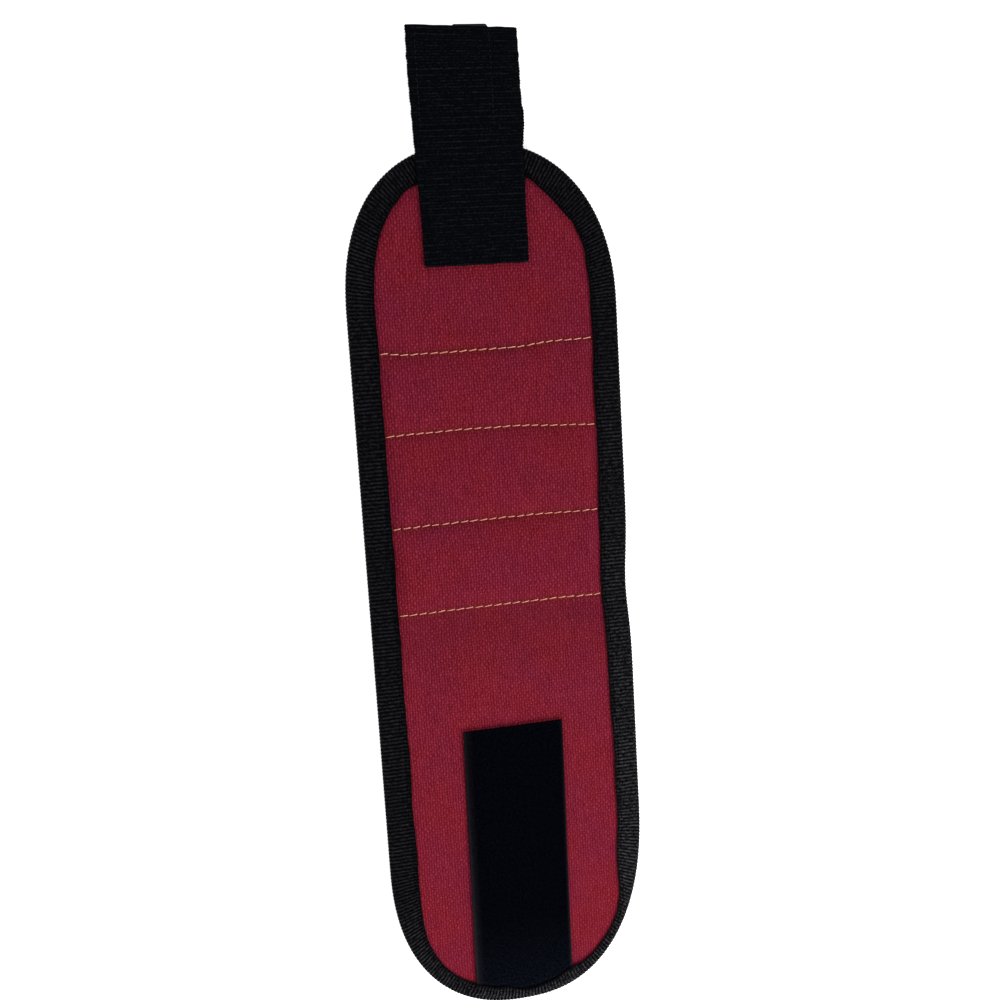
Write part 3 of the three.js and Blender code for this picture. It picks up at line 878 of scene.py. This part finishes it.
for fold in band_folds:
    parts = []
    for steps in stretches_of_tape(fold):
        first, last = steps[0] * tape_step, steps[-1] * tape_step
        middles = np.arange(math.ceil(first / STITCH_PITCH), int(last / STITCH_PITCH) + 1)
        middles = middles * STITCH_PITCH
        middles = middles[(middles > first) & (middles <= last)]
        half = 0.5 * STITCH_SHARE * STITCH_PITCH
        for front, shape in ((True, FRONT_SEAM), (False, BACK_SEAM)):
            ends = (on_seam(middles - half, front), on_seam(middles + half, front))
            parts.append(stitches(*ends, SEAM_THREAD, **shape))
    seam_piece = add_piece(f"seam_{fold.name}", black_finish, parts)
    fold.bend(seam_piece)

# Loop patch. Black loop tape, 38.6 mm wide, sewn flat on the canvas with its end under the binding.
# It is a woven ground with a dense nap of fine loops, and a bare selvedge down each edge.
PATCH_GROUND, PATCH_SELVEDGE, PATCH_TONGUE = 0.0012, 0.0009, 0.0008
PATCH_STEP = 0.0006
PATCH_UNDER, PATCH_FROM_TIP = 0.0036, 0.0040
SELVEDGES = (0.0015, 0.0007)
NAP_SPACING = 0.00086
NAP_THREAD, NAP_POINTS = 0.00006, 5
NAP_WIDTHS, NAP_HEIGHTS, NAP_LEAN = (0.00022, 0.00045), (0.00035, 0.00068), 0.55
NAP_FROM_FLAP, NAP_FROM_TOP = 0.0010, 0.0009
patch_bottom = patch_low.z


def patch_ground_top(x, y):
    """Height of the patch's woven ground: thin at its selvedges and under the binding, and with fine
    pits and bumps where the loops come through."""
    across = patch_place(x, y)
    inner = ease((across + PATCH_HALF - 0.6 * SELVEDGES[0]) / (0.9 * SELVEDGES[0]))
    inner = inner * ease((PATCH_HALF - 0.6 * SELVEDGES[1] - across) / (1.2 * SELVEDGES[1]))
    clear = ease((inside_flap(x, y) - 0.0002) / 0.0012)
    grain = 0.00010 * unevenness(x, y, 0.0016, 51) + 0.00006 * unevenness(x, y, 0.0009, 52)
    thick = PATCH_SELVEDGE + (PATCH_GROUND - PATCH_SELVEDGE + grain) * inner
    return patch_bottom + PATCH_TONGUE + (thick - PATCH_TONGUE) * clear


def black_loop():
    """Loop tape: almost black and fully rough, with a faint blue cast where the nap is thick."""
    nap = Finish("black_loop", {"Specular IOR Level": 0.0})
    place = nap.flat_place()
    u, v = nap.across_and_along(place)
    fuzz = nap.noise(place, 1.5, 4, 0.75)
    low_end = nap.grade(v, -148, -182)
    tuft = nap.mix(seen(12, 14, 22), seen(25, 29, 41), low_end)
    deep = nap.mix(seen(1, 1, 2), tuft, nap.grade(fuzz, 0.40, 0.68))
    side = u.math("MINIMUM", (2000 * PATCH_HALF - u) * 2.6) + (fuzz - 0.5) * 1.2
    selvedge = nap.mix(seen(21, 18, 22), seen(32, 30, 35), nap.grade(v, -85, -165))
    nap.set("Base Color", nap.mix(selvedge, deep, nap.grade(side, 0.6, 3.4) ** 0.5))
    nap.set("Roughness", 0.85 + fuzz * 0.15)
    nap.emboss(fuzz, 0.0005, 0.9)
    return nap.material


def nap_loops(low, high, dice):
    """Small standing loops on a jittered grid: each a half ring that leans over, set at random."""
    across = np.arange(-PATCH_HALF + SELVEDGES[0], PATCH_HALF - SELVEDGES[1], NAP_SPACING)
    along = np.arange(low, high, NAP_SPACING)
    x, y = (grid.ravel() for grid in np.meshgrid(across, along))
    x = x + dice.uniform(-0.5, 0.5, x.size) * NAP_SPACING
    y = y + dice.uniform(-0.5, 0.5, y.size) * NAP_SPACING
    x = x - patch_place(0, y)
    keep = (inside_flap(x, y) > NAP_FROM_FLAP) & (y < patch_high.y - NAP_FROM_TOP)
    x, y = x[keep], y[keep]
    turn = dice.uniform(0, 2 * math.pi, x.size)
    lean = dice.uniform(0, 2 * math.pi, x.size)
    wide = dice.uniform(*NAP_WIDTHS, x.size)
    tall = dice.uniform(*NAP_HEIGHTS, x.size)
    angle = np.linspace(0.08, 0.92, NAP_POINTS)[None, :] * math.pi
    out = -np.cos(angle) * wide[:, None]
    up = np.sin(angle) * tall[:, None]
    tip = NAP_LEAN * up
    loop_x = x[:, None] + out * np.cos(turn)[:, None] + tip * np.cos(lean)[:, None]
    loop_y = y[:, None] + out * np.sin(turn)[:, None] + tip * np.sin(lean)[:, None]
    base = patch_ground_top(x, y)[:, None] - 0.00008
    points, faces, _ = tubes(surface(loop_x, loop_y, base + up), NAP_THREAD, 3, taper=0.0)
    x, y, _ = points.T
    return points, faces, 1000 * np.stack([patch_place(x, y) + PATCH_HALF, y], -1)


loop_finish = black_loop()
nap_dice = np.random.default_rng(55)
patch_columns = round(2 * PATCH_HALF / PATCH_STEP)
for fold in band_folds[:3]:
    end = patch_high.y if fold.name == "fold_patch_top" else fold.end
    start = max(fold.start, patch_low.y + 0.0002, LOOP_TIP + PATCH_FROM_TIP)
    y = np.linspace(start, end, round((end - start) / PATCH_STEP) + 1)[:, None]
    left = np.maximum(-PATCH_HALF - patch_place(0, y), edge(y, -1, PATCH_UNDER))
    right = np.minimum(PATCH_HALF - patch_place(0, y), edge(y, 1, PATCH_UNDER))
    x, flat_size, area = flat_grid(y, left, right, patch_columns)
    top, bottom = surface(x, y, patch_ground_top(x, y)), surface(x, y, patch_bottom)
    parts = [shell(top, bottom, patch_place(x, y) + PATCH_HALF, y)]
    ground = add_piece(f"patch_{fold.name}", loop_finish, parts)
    fold.bend(ground)
    nodes = [f"patch_{name}" for name in (fold.low, fold.high) if name != "lower_plain"]
    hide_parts(*nodes)
    nap = add_piece(f"nap_{fold.name}", loop_finish, [nap_loops(start, end, nap_dice)])
    fold.bend(nap)

# Closing strap. Black ribbed webbing: its lower part is sewn flat on the canvas and over the binding,
# its upper part is free. It is a little narrower where the seam draws it in, and its tip is cut a
# little aslant.
WEB_PITCH = 0.00103
WEB_STEPS = 6
WEB_COLUMNS = 44
WEB_RIB = 0.00009
strap_low, strap_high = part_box("strap_sewn")[0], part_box("strap_free")[1]
strap_hinge = next(j for j in frame["joints"] if j["name"] == "strap_fold")["pos_m"]
STRAP_FOLD_REACH = 0.005
TIP_SHORT, TIP_SLOPE, HEM_LONG = 0.0005, 0.0016, 0.0012
TIP_RAMP, HEM_RAMP = 0.016, 0.008
SEAM_CENTRE, FREE_CENTRE = -0.0021, -0.0027
SEAM_HALF, FREE_HALF = 0.0190, 0.0199
STRAP_EASE = 0.075
WEB_BULGE = 0.00013
WEB_EDGE_WAVES = ((0.00012, 0.02, 61), (0.00010, 0.0035, 66))
WEB_EDGE_THINNING, WEB_CUP = 0.45, 0.00018
TIP_UNEVEN, HEM_UNEVEN = 0.00010, 0.00016
TIP_PRESSED, HEM_PRESSED = 0.0012, 0.0008
SHOULDER, SHOULDER_PLACE, SHOULDER_SPREAD = 0.0009, 0.007, 0.006


def strap_place(share, y):
    """The webbing's x at a share from -1 to 1 across it. Centre and width ease over from the seam's
    to the free part's, the selvedge bulges a little at each rib, and the right one has a shoulder
    just above the band."""
    free = ease((y - strap_low.y) / STRAP_EASE)
    centre = SEAM_CENTRE + (FREE_CENTRE - SEAM_CENTRE) * free
    half = SEAM_HALF + (FREE_HALF - SEAM_HALF) * free
    half = half + WEB_BULGE * np.cos(2 * math.pi * (y - strap_low.y) / WEB_PITCH)
    for height, size, seed in WEB_EDGE_WAVES:
        half = half + height * unevenness(y, 0, size, seed)
    from_shoulder = y - STRAP_END - SHOULDER_PLACE
    shoulder = SHOULDER * np.exp(-((from_shoulder / SHOULDER_SPREAD) ** 2))
    return centre + share * half + shoulder * ease(share)


def webbing_surfaces(low, high):
    """Both sides of the webbing between two places along it: ribs across it as rounded ridges, and
    edges that thin out as the 14th power of the share across. Every other rib stands a little
    lower. The tip is cut a little aslant, and tip and hem a little unevenly."""
    steps = round((high - low) / (WEB_PITCH / WEB_STEPS)) + 1
    y = np.linspace(low, high, steps)[:, None]
    share = np.sin(np.linspace(-1, 1, WEB_COLUMNS) * math.pi / 2)[None, :]
    x = strap_place(share, y)
    ribs = (y - strap_low.y) / WEB_PITCH
    wave = np.sin(math.pi * ribs)
    wave = np.abs(wave) ** 0.7 * (0.86 + 0.14 * np.sign(wave))
    ends = ease((strap_high.y - y) / TIP_PRESSED) * ease((y - strap_low.y) / HEM_PRESSED)
    half = (strap_high.z - strap_low.z) / 2
    middle = strap_low.z + half
    thick = half * (1 - WEB_EDGE_THINNING * np.abs(share) ** 14) * (0.62 + 0.38 * ends)
    cup = WEB_CUP * unevenness(x, y, 0.030, 62) * ease((y - strap_low.y) / 0.05)
    cut = TIP_UNEVEN * unevenness(x, 0, 0.006, 63) - TIP_SHORT - TIP_SLOPE * (share + 1) / 2
    hem = HEM_UNEVEN * unevenness(x, 0, 0.012, 64) - HEM_LONG
    near_tip = ease((y - strap_high.y + TIP_RAMP) / TIP_RAMP)
    near_hem = ease((strap_low.y + HEM_RAMP - y) / HEM_RAMP)
    line = y + cut * near_tip + hem * near_hem
    top = surface(x, line, middle + cup + thick - WEB_RIB * (1 - wave))
    bottom = surface(x, line, middle + cup * 0.3 - thick + WEB_RIB * (1 - wave))
    return shell(top, bottom, x, y)


web_finish = black_grosgrain(
    "black_webbing", pitch=1000 * WEB_PITCH, alternate=0.14, ribbing=0.36, run=5.0,
    deep=(2, 3, 6), light=(34, 35, 42), lit_crest=(34, 35, 42), rim=0.0
)
strap_seam_fold = folds_by_name["fold_strap_seam"]
web_split = (strap_seam_fold.y + strap_hinge[1]) / 2
sewn_web = add_piece("strap_sewn_webbing", web_finish, [webbing_surfaces(strap_low.y, web_split)])
strap_seam_fold.bend(sewn_web)
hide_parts("strap_sewn")
free_web = add_piece("strap_free_webbing", web_finish, [webbing_surfaces(web_split, strap_high.y)])
fold_start, fold_end = [
    (0, strap_hinge[1] + way * STRAP_FOLD_REACH, strap_hinge[2]) for way in (-1, 1)
]
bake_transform(free_web)
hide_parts("strap_sewn", "strap_free")
for web, low, high in ((sewn_web, strap_low.y, web_split), (free_web, web_split, strap_high.y)):
    high - low

# Hook tape. Black woven tape under the strap's free part, with a bed of moulded hooks that face down,
# sewn on by a line of stitches down each side and across each end. Its end peeks out past the
# strap's tip.
HOOK_SHIFT = Vector((-0.0015, 0, 0))
hook_low, hook_high = (corner + HOOK_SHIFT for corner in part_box("hook_tape"))
hook_end = strap_high.y - TIP_SHORT - TIP_SLOPE / 2
HOOK_SHORT = 0.0006
HOOK_PEEK, PEEK_LEFT, PEEK_RIGHT, PEEK_RAMP = 0.0014, -0.0063, 0.0073, 0.001
HOOK_GROUND = 0.0005
HOOK_WEAVE, HOOK_WEAVE_PITCH = 0.00006, 0.0017
HOOK_PITCH = (0.0013, 0.0016)
HOOK_THREAD, HOOK_SIDES = 0.00011, 4
HOOK_BORDER = 0.0012
HOOK_SEAM_LEFT, HOOK_SEAM_RIGHT, HOOK_SEAM_LOW, HOOK_SEAM_TIP = 0.0009, 0.0027, 0.0018, 0.0020
SEWN_SHARE, HEM_SEAM, UPPER_SEAM = 0.89, 0.0026, 0.0075
HOOK_CURL, HOOK_STEM, HOOK_TURN = 0.42, 1.25, 0.84375


def hook_rows():
    """Hooks in even rows, every other row turned the other way: a stem down from the ground that
    curls over through five sixths of a half turn."""
    across = np.arange(hook_low.x + HOOK_BORDER, hook_high.x - 0.0010, HOOK_PITCH[0])
    along = np.arange(hook_low.y + HOOK_BORDER, hook_end - 0.0016, HOOK_PITCH[1])
    x, y = np.meshgrid(across, along)
    turn = np.where(np.arange(len(along)) % 2 == 0, 1.0, -1.0)[:, None] + 0 * x
    x, y, turn = x.ravel()[:, None], y.ravel()[:, None], turn.ravel()[:, None]
    root = hook_high.z - HOOK_GROUND
    curl = (root - hook_low.z) * HOOK_CURL
    angle = np.array([[0, 0.25, 0.5, 0.75, 1.0]]) * HOOK_TURN * math.pi
    out = np.concatenate([0 * x, curl * (1 - np.cos(angle)) + 0 * x], 1)
    down = np.concatenate([0.00005 + 0 * x, curl * (HOOK_STEM + np.sin(angle)) + 0 * x], 1)
    paths = surface(x, y + turn * out, root - down * 0.98)
    return tubes(paths, HOOK_THREAD, HOOK_SIDES, taper=0.3)


def black_hook():
    """Moulded nylon hooks on a woven ground: black with a dull shine."""
    nylon = Finish("black_hook", {"Specular IOR Level": 0.3})
    fuzz = nylon.noise(nylon.flat_place(), 1.2, 3)
    nylon.set("Base Color", nylon.mix(seen(9, 9, 10), seen(24, 24, 26), fuzz))
    nylon.set("Roughness", 0.40 + fuzz * 0.25)
    nylon.emboss(fuzz, 0.0001, 0.6)
    return nylon.material


hook_finish = black_hook()
x = np.linspace(hook_low.x, hook_high.x, 60)[None, :]
peek = ease((x - PEEK_LEFT) / PEEK_RAMP) * ease((PEEK_RIGHT - x) / PEEK_RAMP) * HOOK_PEEK
y = hook_low.y + (hook_end - HOOK_SHORT + peek - hook_low.y) * np.linspace(0, 1, 46)[:, None]
wave_x, wave_y = (np.sin(2 * math.pi * place / HOOK_WEAVE_PITCH) for place in (x, y))
weave = HOOK_WEAVE * wave_x * wave_y
top = surface(x, y, hook_high.z - 0.00005)
bottom = surface(x, y, hook_high.z - HOOK_GROUND + weave)
hook_ground = add_piece("hook_tape_ground", hook_finish, [shell(top, bottom, x, y)])
hook_bed = add_piece("hook_tape_hooks", hook_finish, [hook_rows()])
for piece in (hook_ground, hook_bed):
    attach(piece, "strap")
    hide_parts("hook_tape")
strap_surface = strap_high.z - 0.00006


def straight_stitches(x_from, y_from, x_to, y_to, pitch=0.0024, lift=0.0):
    """A straight line of stitches between two places on the strap's top, each 0.6 of its pitch."""
    count = round(math.hypot(x_to - x_from, y_to - y_from) / pitch)
    middles = (np.arange(count) + 0.5) / count
    ends = []
    for way in (-0.3, 0.3):
        share = middles + way / count
        x, y = x_from + (x_to - x_from) * share, y_from + (y_to - y_from) * share
        ends.append(surface(x, y, strap_surface))
    return stitches(*ends, SEAM_THREAD, lift, dip=0.00030)


def box_seam(lines, start, end, crossing):
    """Straight stitches down both lines and across at one place, as on a sewn-down strap."""
    parts = [straight_stitches(line, start, line, end) for line in lines]
    return parts + [straight_stitches(lines[0], crossing, lines[1], crossing)]


hook_lines = (hook_low.x + HOOK_SEAM_LEFT, hook_high.x - HOOK_SEAM_RIGHT)
hook_ends = (hook_low.y + HOOK_SEAM_LOW, hook_end - HOOK_SEAM_TIP)
parts = [straight_stitches(line, hook_ends[0], line, hook_ends[1], pitch=0.0019, lift=0.00014)
         for line in hook_lines]
worn_finish = thread("worn_thread", seen(7, 8, 12), seen(23, 25, 32))
side_seams = add_piece("hook_tape_side_seams", worn_finish, parts)
parts = [straight_stitches(hook_lines[0], end, hook_lines[1], end) for end in hook_ends]
end_seams = add_piece("hook_tape_end_seams", black_finish, parts)
for seams in (side_seams, end_seams):
    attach(seams, "strap")
sewn_sides = [strap_place(side, strap_low.y) for side in (-SEWN_SHARE, SEWN_SHARE)]
hem_line = strap_low.y - HEM_LONG + HEM_SEAM
parts = box_seam(sewn_sides, hem_line, web_split, hem_line)
lower_seams = add_piece("strap_seams_lower", black_finish, parts)
strap_seam_fold.bend(lower_seams)
upper_line = STRAP_END - UPPER_SEAM
parts = box_seam(sewn_sides, web_split, upper_line, upper_line)
upper_seams = add_piece("strap_seams_upper", black_finish, parts)
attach(upper_seams, "strap_seat")

# Magnets and their foam. Four nickel-plated discs lie side by side in each pocket, in round seats in a
# strip of grey foam that keeps them apart.
MAGNET_CHAMFER = 0.00025
MAGNET_SIDES = 40
MAGNET_FLAT = 6
FOAM_SEAT_GAP = 0.0003
FOAM_SIDES = 48


def turned(profile, centre, sides):
    """A closed shape of revolution about an upright line: the profile's radius and height go round.
    Its flat places are the angle round it, in millimetres of the disc's edge, and the radius."""
    angle = np.linspace(0, 2 * math.pi, sides, endpoint=False)[:, None]
    radius, height = profile[:, 0][None, :], profile[:, 1][None, :]
    x, y = centre[0] + radius * np.cos(angle), centre[1] + radius * np.sin(angle)
    points = surface(x, y, height)
    count = len(profile)
    index = np.arange(sides * count).reshape(sides, count)
    after = np.roll(index, -1, 0)
    flat = np.stack(np.broadcast_arrays(angle * MAGNET_FLAT, radius * 1000), -1).reshape(-1, 2)
    faces = [walls(index, after), index[None, :, 0], index[None, ::-1, -1]]
    return points.reshape(-1, 3), faces, flat


def foam_collar(centre, half, hole, bottom, top):
    """Foam round one seat: a section that goes down the seat's wall, out, up and in again, carried
    round from a circle to a rounded rectangle with the fourth power of its sides."""
    angle = np.linspace(0, 2 * math.pi, FOAM_SIDES, endpoint=False)[:, None]
    out = (np.abs(np.cos(angle)) ** 4 + np.abs(np.sin(angle)) ** 4) ** -0.25
    share = np.array([[0, 0.06, 0.5, 0.94, 1, 1, 0.94, 0.5, 0.06, 0]])
    soft = 0.0003
    level = np.array([bottom + soft, bottom, bottom, bottom, bottom + soft])
    height = np.concatenate([level, (bottom + top) - level[::-1]])[None, :]
    outer_x, outer_y = half[0] * out * np.cos(angle), half[1] * out * np.sin(angle)
    x = centre[0] + hole * np.cos(angle) * (1 - share) + outer_x * share
    y = centre[1] + hole * np.sin(angle) * (1 - share) + outer_y * share
    points = surface(x, y, height)
    index = np.arange(x.size).reshape(x.shape)
    right, down = np.roll(index, -1, 1), np.roll(index, -1, 0)
    both = np.roll(down, -1, 1)
    faces = np.stack([index, right, both, down], -1).reshape(-1, 4)
    return points.reshape(-1, 3), [faces], points[..., :2].reshape(-1, 2) * 1000


def plated_magnet():
    """Bright nickel plating with fine scratches and a few duller spots from handling."""
    nickel = Finish("plated_magnet", {"Metallic": 1.0})
    place = nickel.flat_place()
    scratch = nickel.node("Mapping", {}, {"Vector": place, "Scale": (0.4, 6, 1)})
    scuff = nickel.noise(scratch, 2.0, 3)
    spots = nickel.grade(nickel.noise(place, 0.8, 2), 0.45, 0.75)
    nickel.set("Base Color", nickel.mix(seen(205, 203, 196), seen(168, 166, 160), spots))
    nickel.set("Roughness", 0.16 + scuff * 0.18 + spots * 0.12)
    nickel.emboss(scuff, 0.00002, 0.5)
    return nickel.material


def grey_foam():
    """Fine closed-cell foam: small round pits, grey, and rough all over."""
    foam = Finish("grey_foam", {"Specular IOR Level": 0.1})
    sockets = {"Vector": foam.flat_place(), "Scale": 2.2}
    cells = foam.node("TexVoronoi", {"feature": "F1"}, sockets)
    pits = foam.grade(cells, 0.1, 0.6)
    foam.set("Base Color", foam.mix(seen(34, 34, 36), seen(66, 66, 68), pits))
    foam.set("Roughness", 0.9 + pits * 0.1)
    foam.emboss(pits, 0.0002, 0.8)
    return foam.material


magnet_finish, foam_finish = plated_magnet(), grey_foam()
for pocket in ("pocket_1", "pocket_2", "pocket_3"):
    low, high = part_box(f"foam_{pocket}")
    collars = []
    discs = [f"magnet_{pocket}_{count}" for count in (1, 2, 3, 4)]
    for name in discs:
        disc_low, disc_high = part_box(name)
        centre = ((disc_low.x + disc_high.x) / 2, (disc_low.y + disc_high.y) / 2)
        radius = (disc_high.y - disc_low.y) / 2
        rim = radius - MAGNET_CHAMFER
        profile = np.array([[rim, disc_low.z], [radius, disc_low.z + MAGNET_CHAMFER],
                            [radius, disc_high.z - MAGNET_CHAMFER], [rim, disc_high.z]])
        disc = add_piece(f"disc_{name}", magnet_finish, [turned(profile, centre, MAGNET_SIDES)], 30)
        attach(disc, pocket)
        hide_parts(name)
        half = ((high.x - low.x) / 2 / len(discs), (high.y - low.y) / 2)
        collars.append(foam_collar(centre, half, radius + FOAM_SEAT_GAP, low.z, high.z))
    strip = add_piece(f"foam_strip_{pocket}", foam_finish, collars)
    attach(strip, pocket)
    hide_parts(f"foam_{pocket}")

# Studio. A pale seamless floor, an overcast white surround and two large soft lights. The camera
# looks down on the band from above its strap's end and a little from the left.
PHOTO_PLACE = (-0.0941, 0.0885, 0.4497)
PHOTO_TURN = (-8.25, -12.57, -3.55)
PHOTO_LENS, PHOTO_SENSOR = 45, 36
FLOOR_REACH, FLOOR_DROP = 8.0, 0.0001


def soft_light(name, place, aim, size, watts, colour):
    """A round area light at a place, turned to face the aim."""
    lamp = bpy.data.lights.new(name, "AREA")
    lamp.shape, lamp.size, lamp.energy, lamp.color = "DISK", size, watts, colour
    light = bpy.data.objects.new(name, lamp)
    light.location = place
    light.rotation_euler = (Vector(aim) - Vector(place)).to_track_quat("-Z", "Y").to_euler()
    bpy.context.scene.collection.objects.link(light)


def pale_floor():
    """White light table: matt, with a barely visible grain, and lit from below as well."""
    card = Finish("pale_floor", {"Specular IOR Level": 0.1, "Roughness": 0.9, "Emission Strength": 0.6})
    card.set("Emission Color", (1, 1, 1, 1))
    place = card.node("TexCoord", {}, {}, 3)
    grain = card.noise(place, 60, 3)
    card.set("Base Color", card.mix((0.90, 0.90, 0.90, 1), (0.94, 0.94, 0.94, 1), grain))
    return card.material


def under_band(floor):
    """Keeps the floor under the folded band: both ends of each body carry a marker at its lowest
    height, and the floor may not rise above any of them."""
    for body, nodes in frame["record"]["behaviour"]["bodies"].items():
        boxes = [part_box(node) for node in nodes]
        height = min(low.z for low, high in boxes)
        for y in (min(low.y for low, high in boxes), max(high.y for low, high in boxes)):
            marker = bpy.data.objects.new("floor_marker", None)
            marker.location = (0, y, height)
            bpy.context.scene.collection.objects.link(marker)
            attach(marker, body)
            limit = floor.constraints.new("FLOOR")
            limit.target = marker
            limit.floor_location = "FLOOR_NEGATIVE_Z"


def pale_surround():
    """White all round the horizon and as far up as a low camera sees, and dimmer overhead."""
    world = bpy.data.worlds.new("surround")
    world.use_nodes = True
    tree = world.node_tree
    place = tree.nodes.new("ShaderNodeTexCoord")
    parts = tree.nodes.new("ShaderNodeSeparateXYZ")
    tree.links.new(place.outputs["Generated"], parts.inputs["Vector"])
    fall = tree.nodes.new("ShaderNodeMapRange")
    limits = {"From Min": 0.50, "From Max": 0.80, "To Min": 1.04, "To Max": 0.40}
    for key, value in limits.items():
        fall.inputs[key].default_value = value
    tree.links.new(parts.outputs["Z"], fall.inputs["Value"])
    tree.links.new(fall.outputs["Result"], tree.nodes["Background"].inputs["Strength"])
    tree.nodes["Background"].inputs["Color"].default_value = (1, 1, 1, 1)
    bpy.context.scene.world = world


floor_mesh = bpy.data.meshes.new("floor")
floor_signs = ((-1, -1), (1, -1), (1, 1), (-1, 1))
floor_corners = [(x * FLOOR_REACH, y * FLOOR_REACH, 0) for x, y in floor_signs]
floor_mesh.from_pydata(floor_corners, [], [(0, 1, 2, 3)])
floor_mesh.materials.append(pale_floor())
floor = bpy.data.objects.new("floor", floor_mesh)
floor.location.z = -FLOOR_DROP
bpy.context.scene.collection.objects.link(floor)
under_band(floor)
pale_surround()
soft_light("key", (0.30, -0.55, 0.45), (0.02, -0.12, 0), 0.5, 4.9, (1.0, 0.99, 0.985))
soft_light("fill", (-0.7, 0.5, 0.9), (0, 0, 0), 0.8, 3.0, (0.96, 0.98, 1.0))
bpy.context.scene.view_settings.view_transform = "Standard"

camera_data = bpy.data.cameras.new("camera")
camera_data.lens, camera_data.sensor_width = PHOTO_LENS, PHOTO_SENSOR
camera_data.clip_start = 0.01
camera = bpy.data.objects.new("camera", camera_data)
camera.location = PHOTO_PLACE
camera.rotation_euler = Euler([math.radians(angle) for angle in PHOTO_TURN], "XYZ")
bpy.context.scene.collection.objects.link(camera)
bpy.context.scene.camera = camera
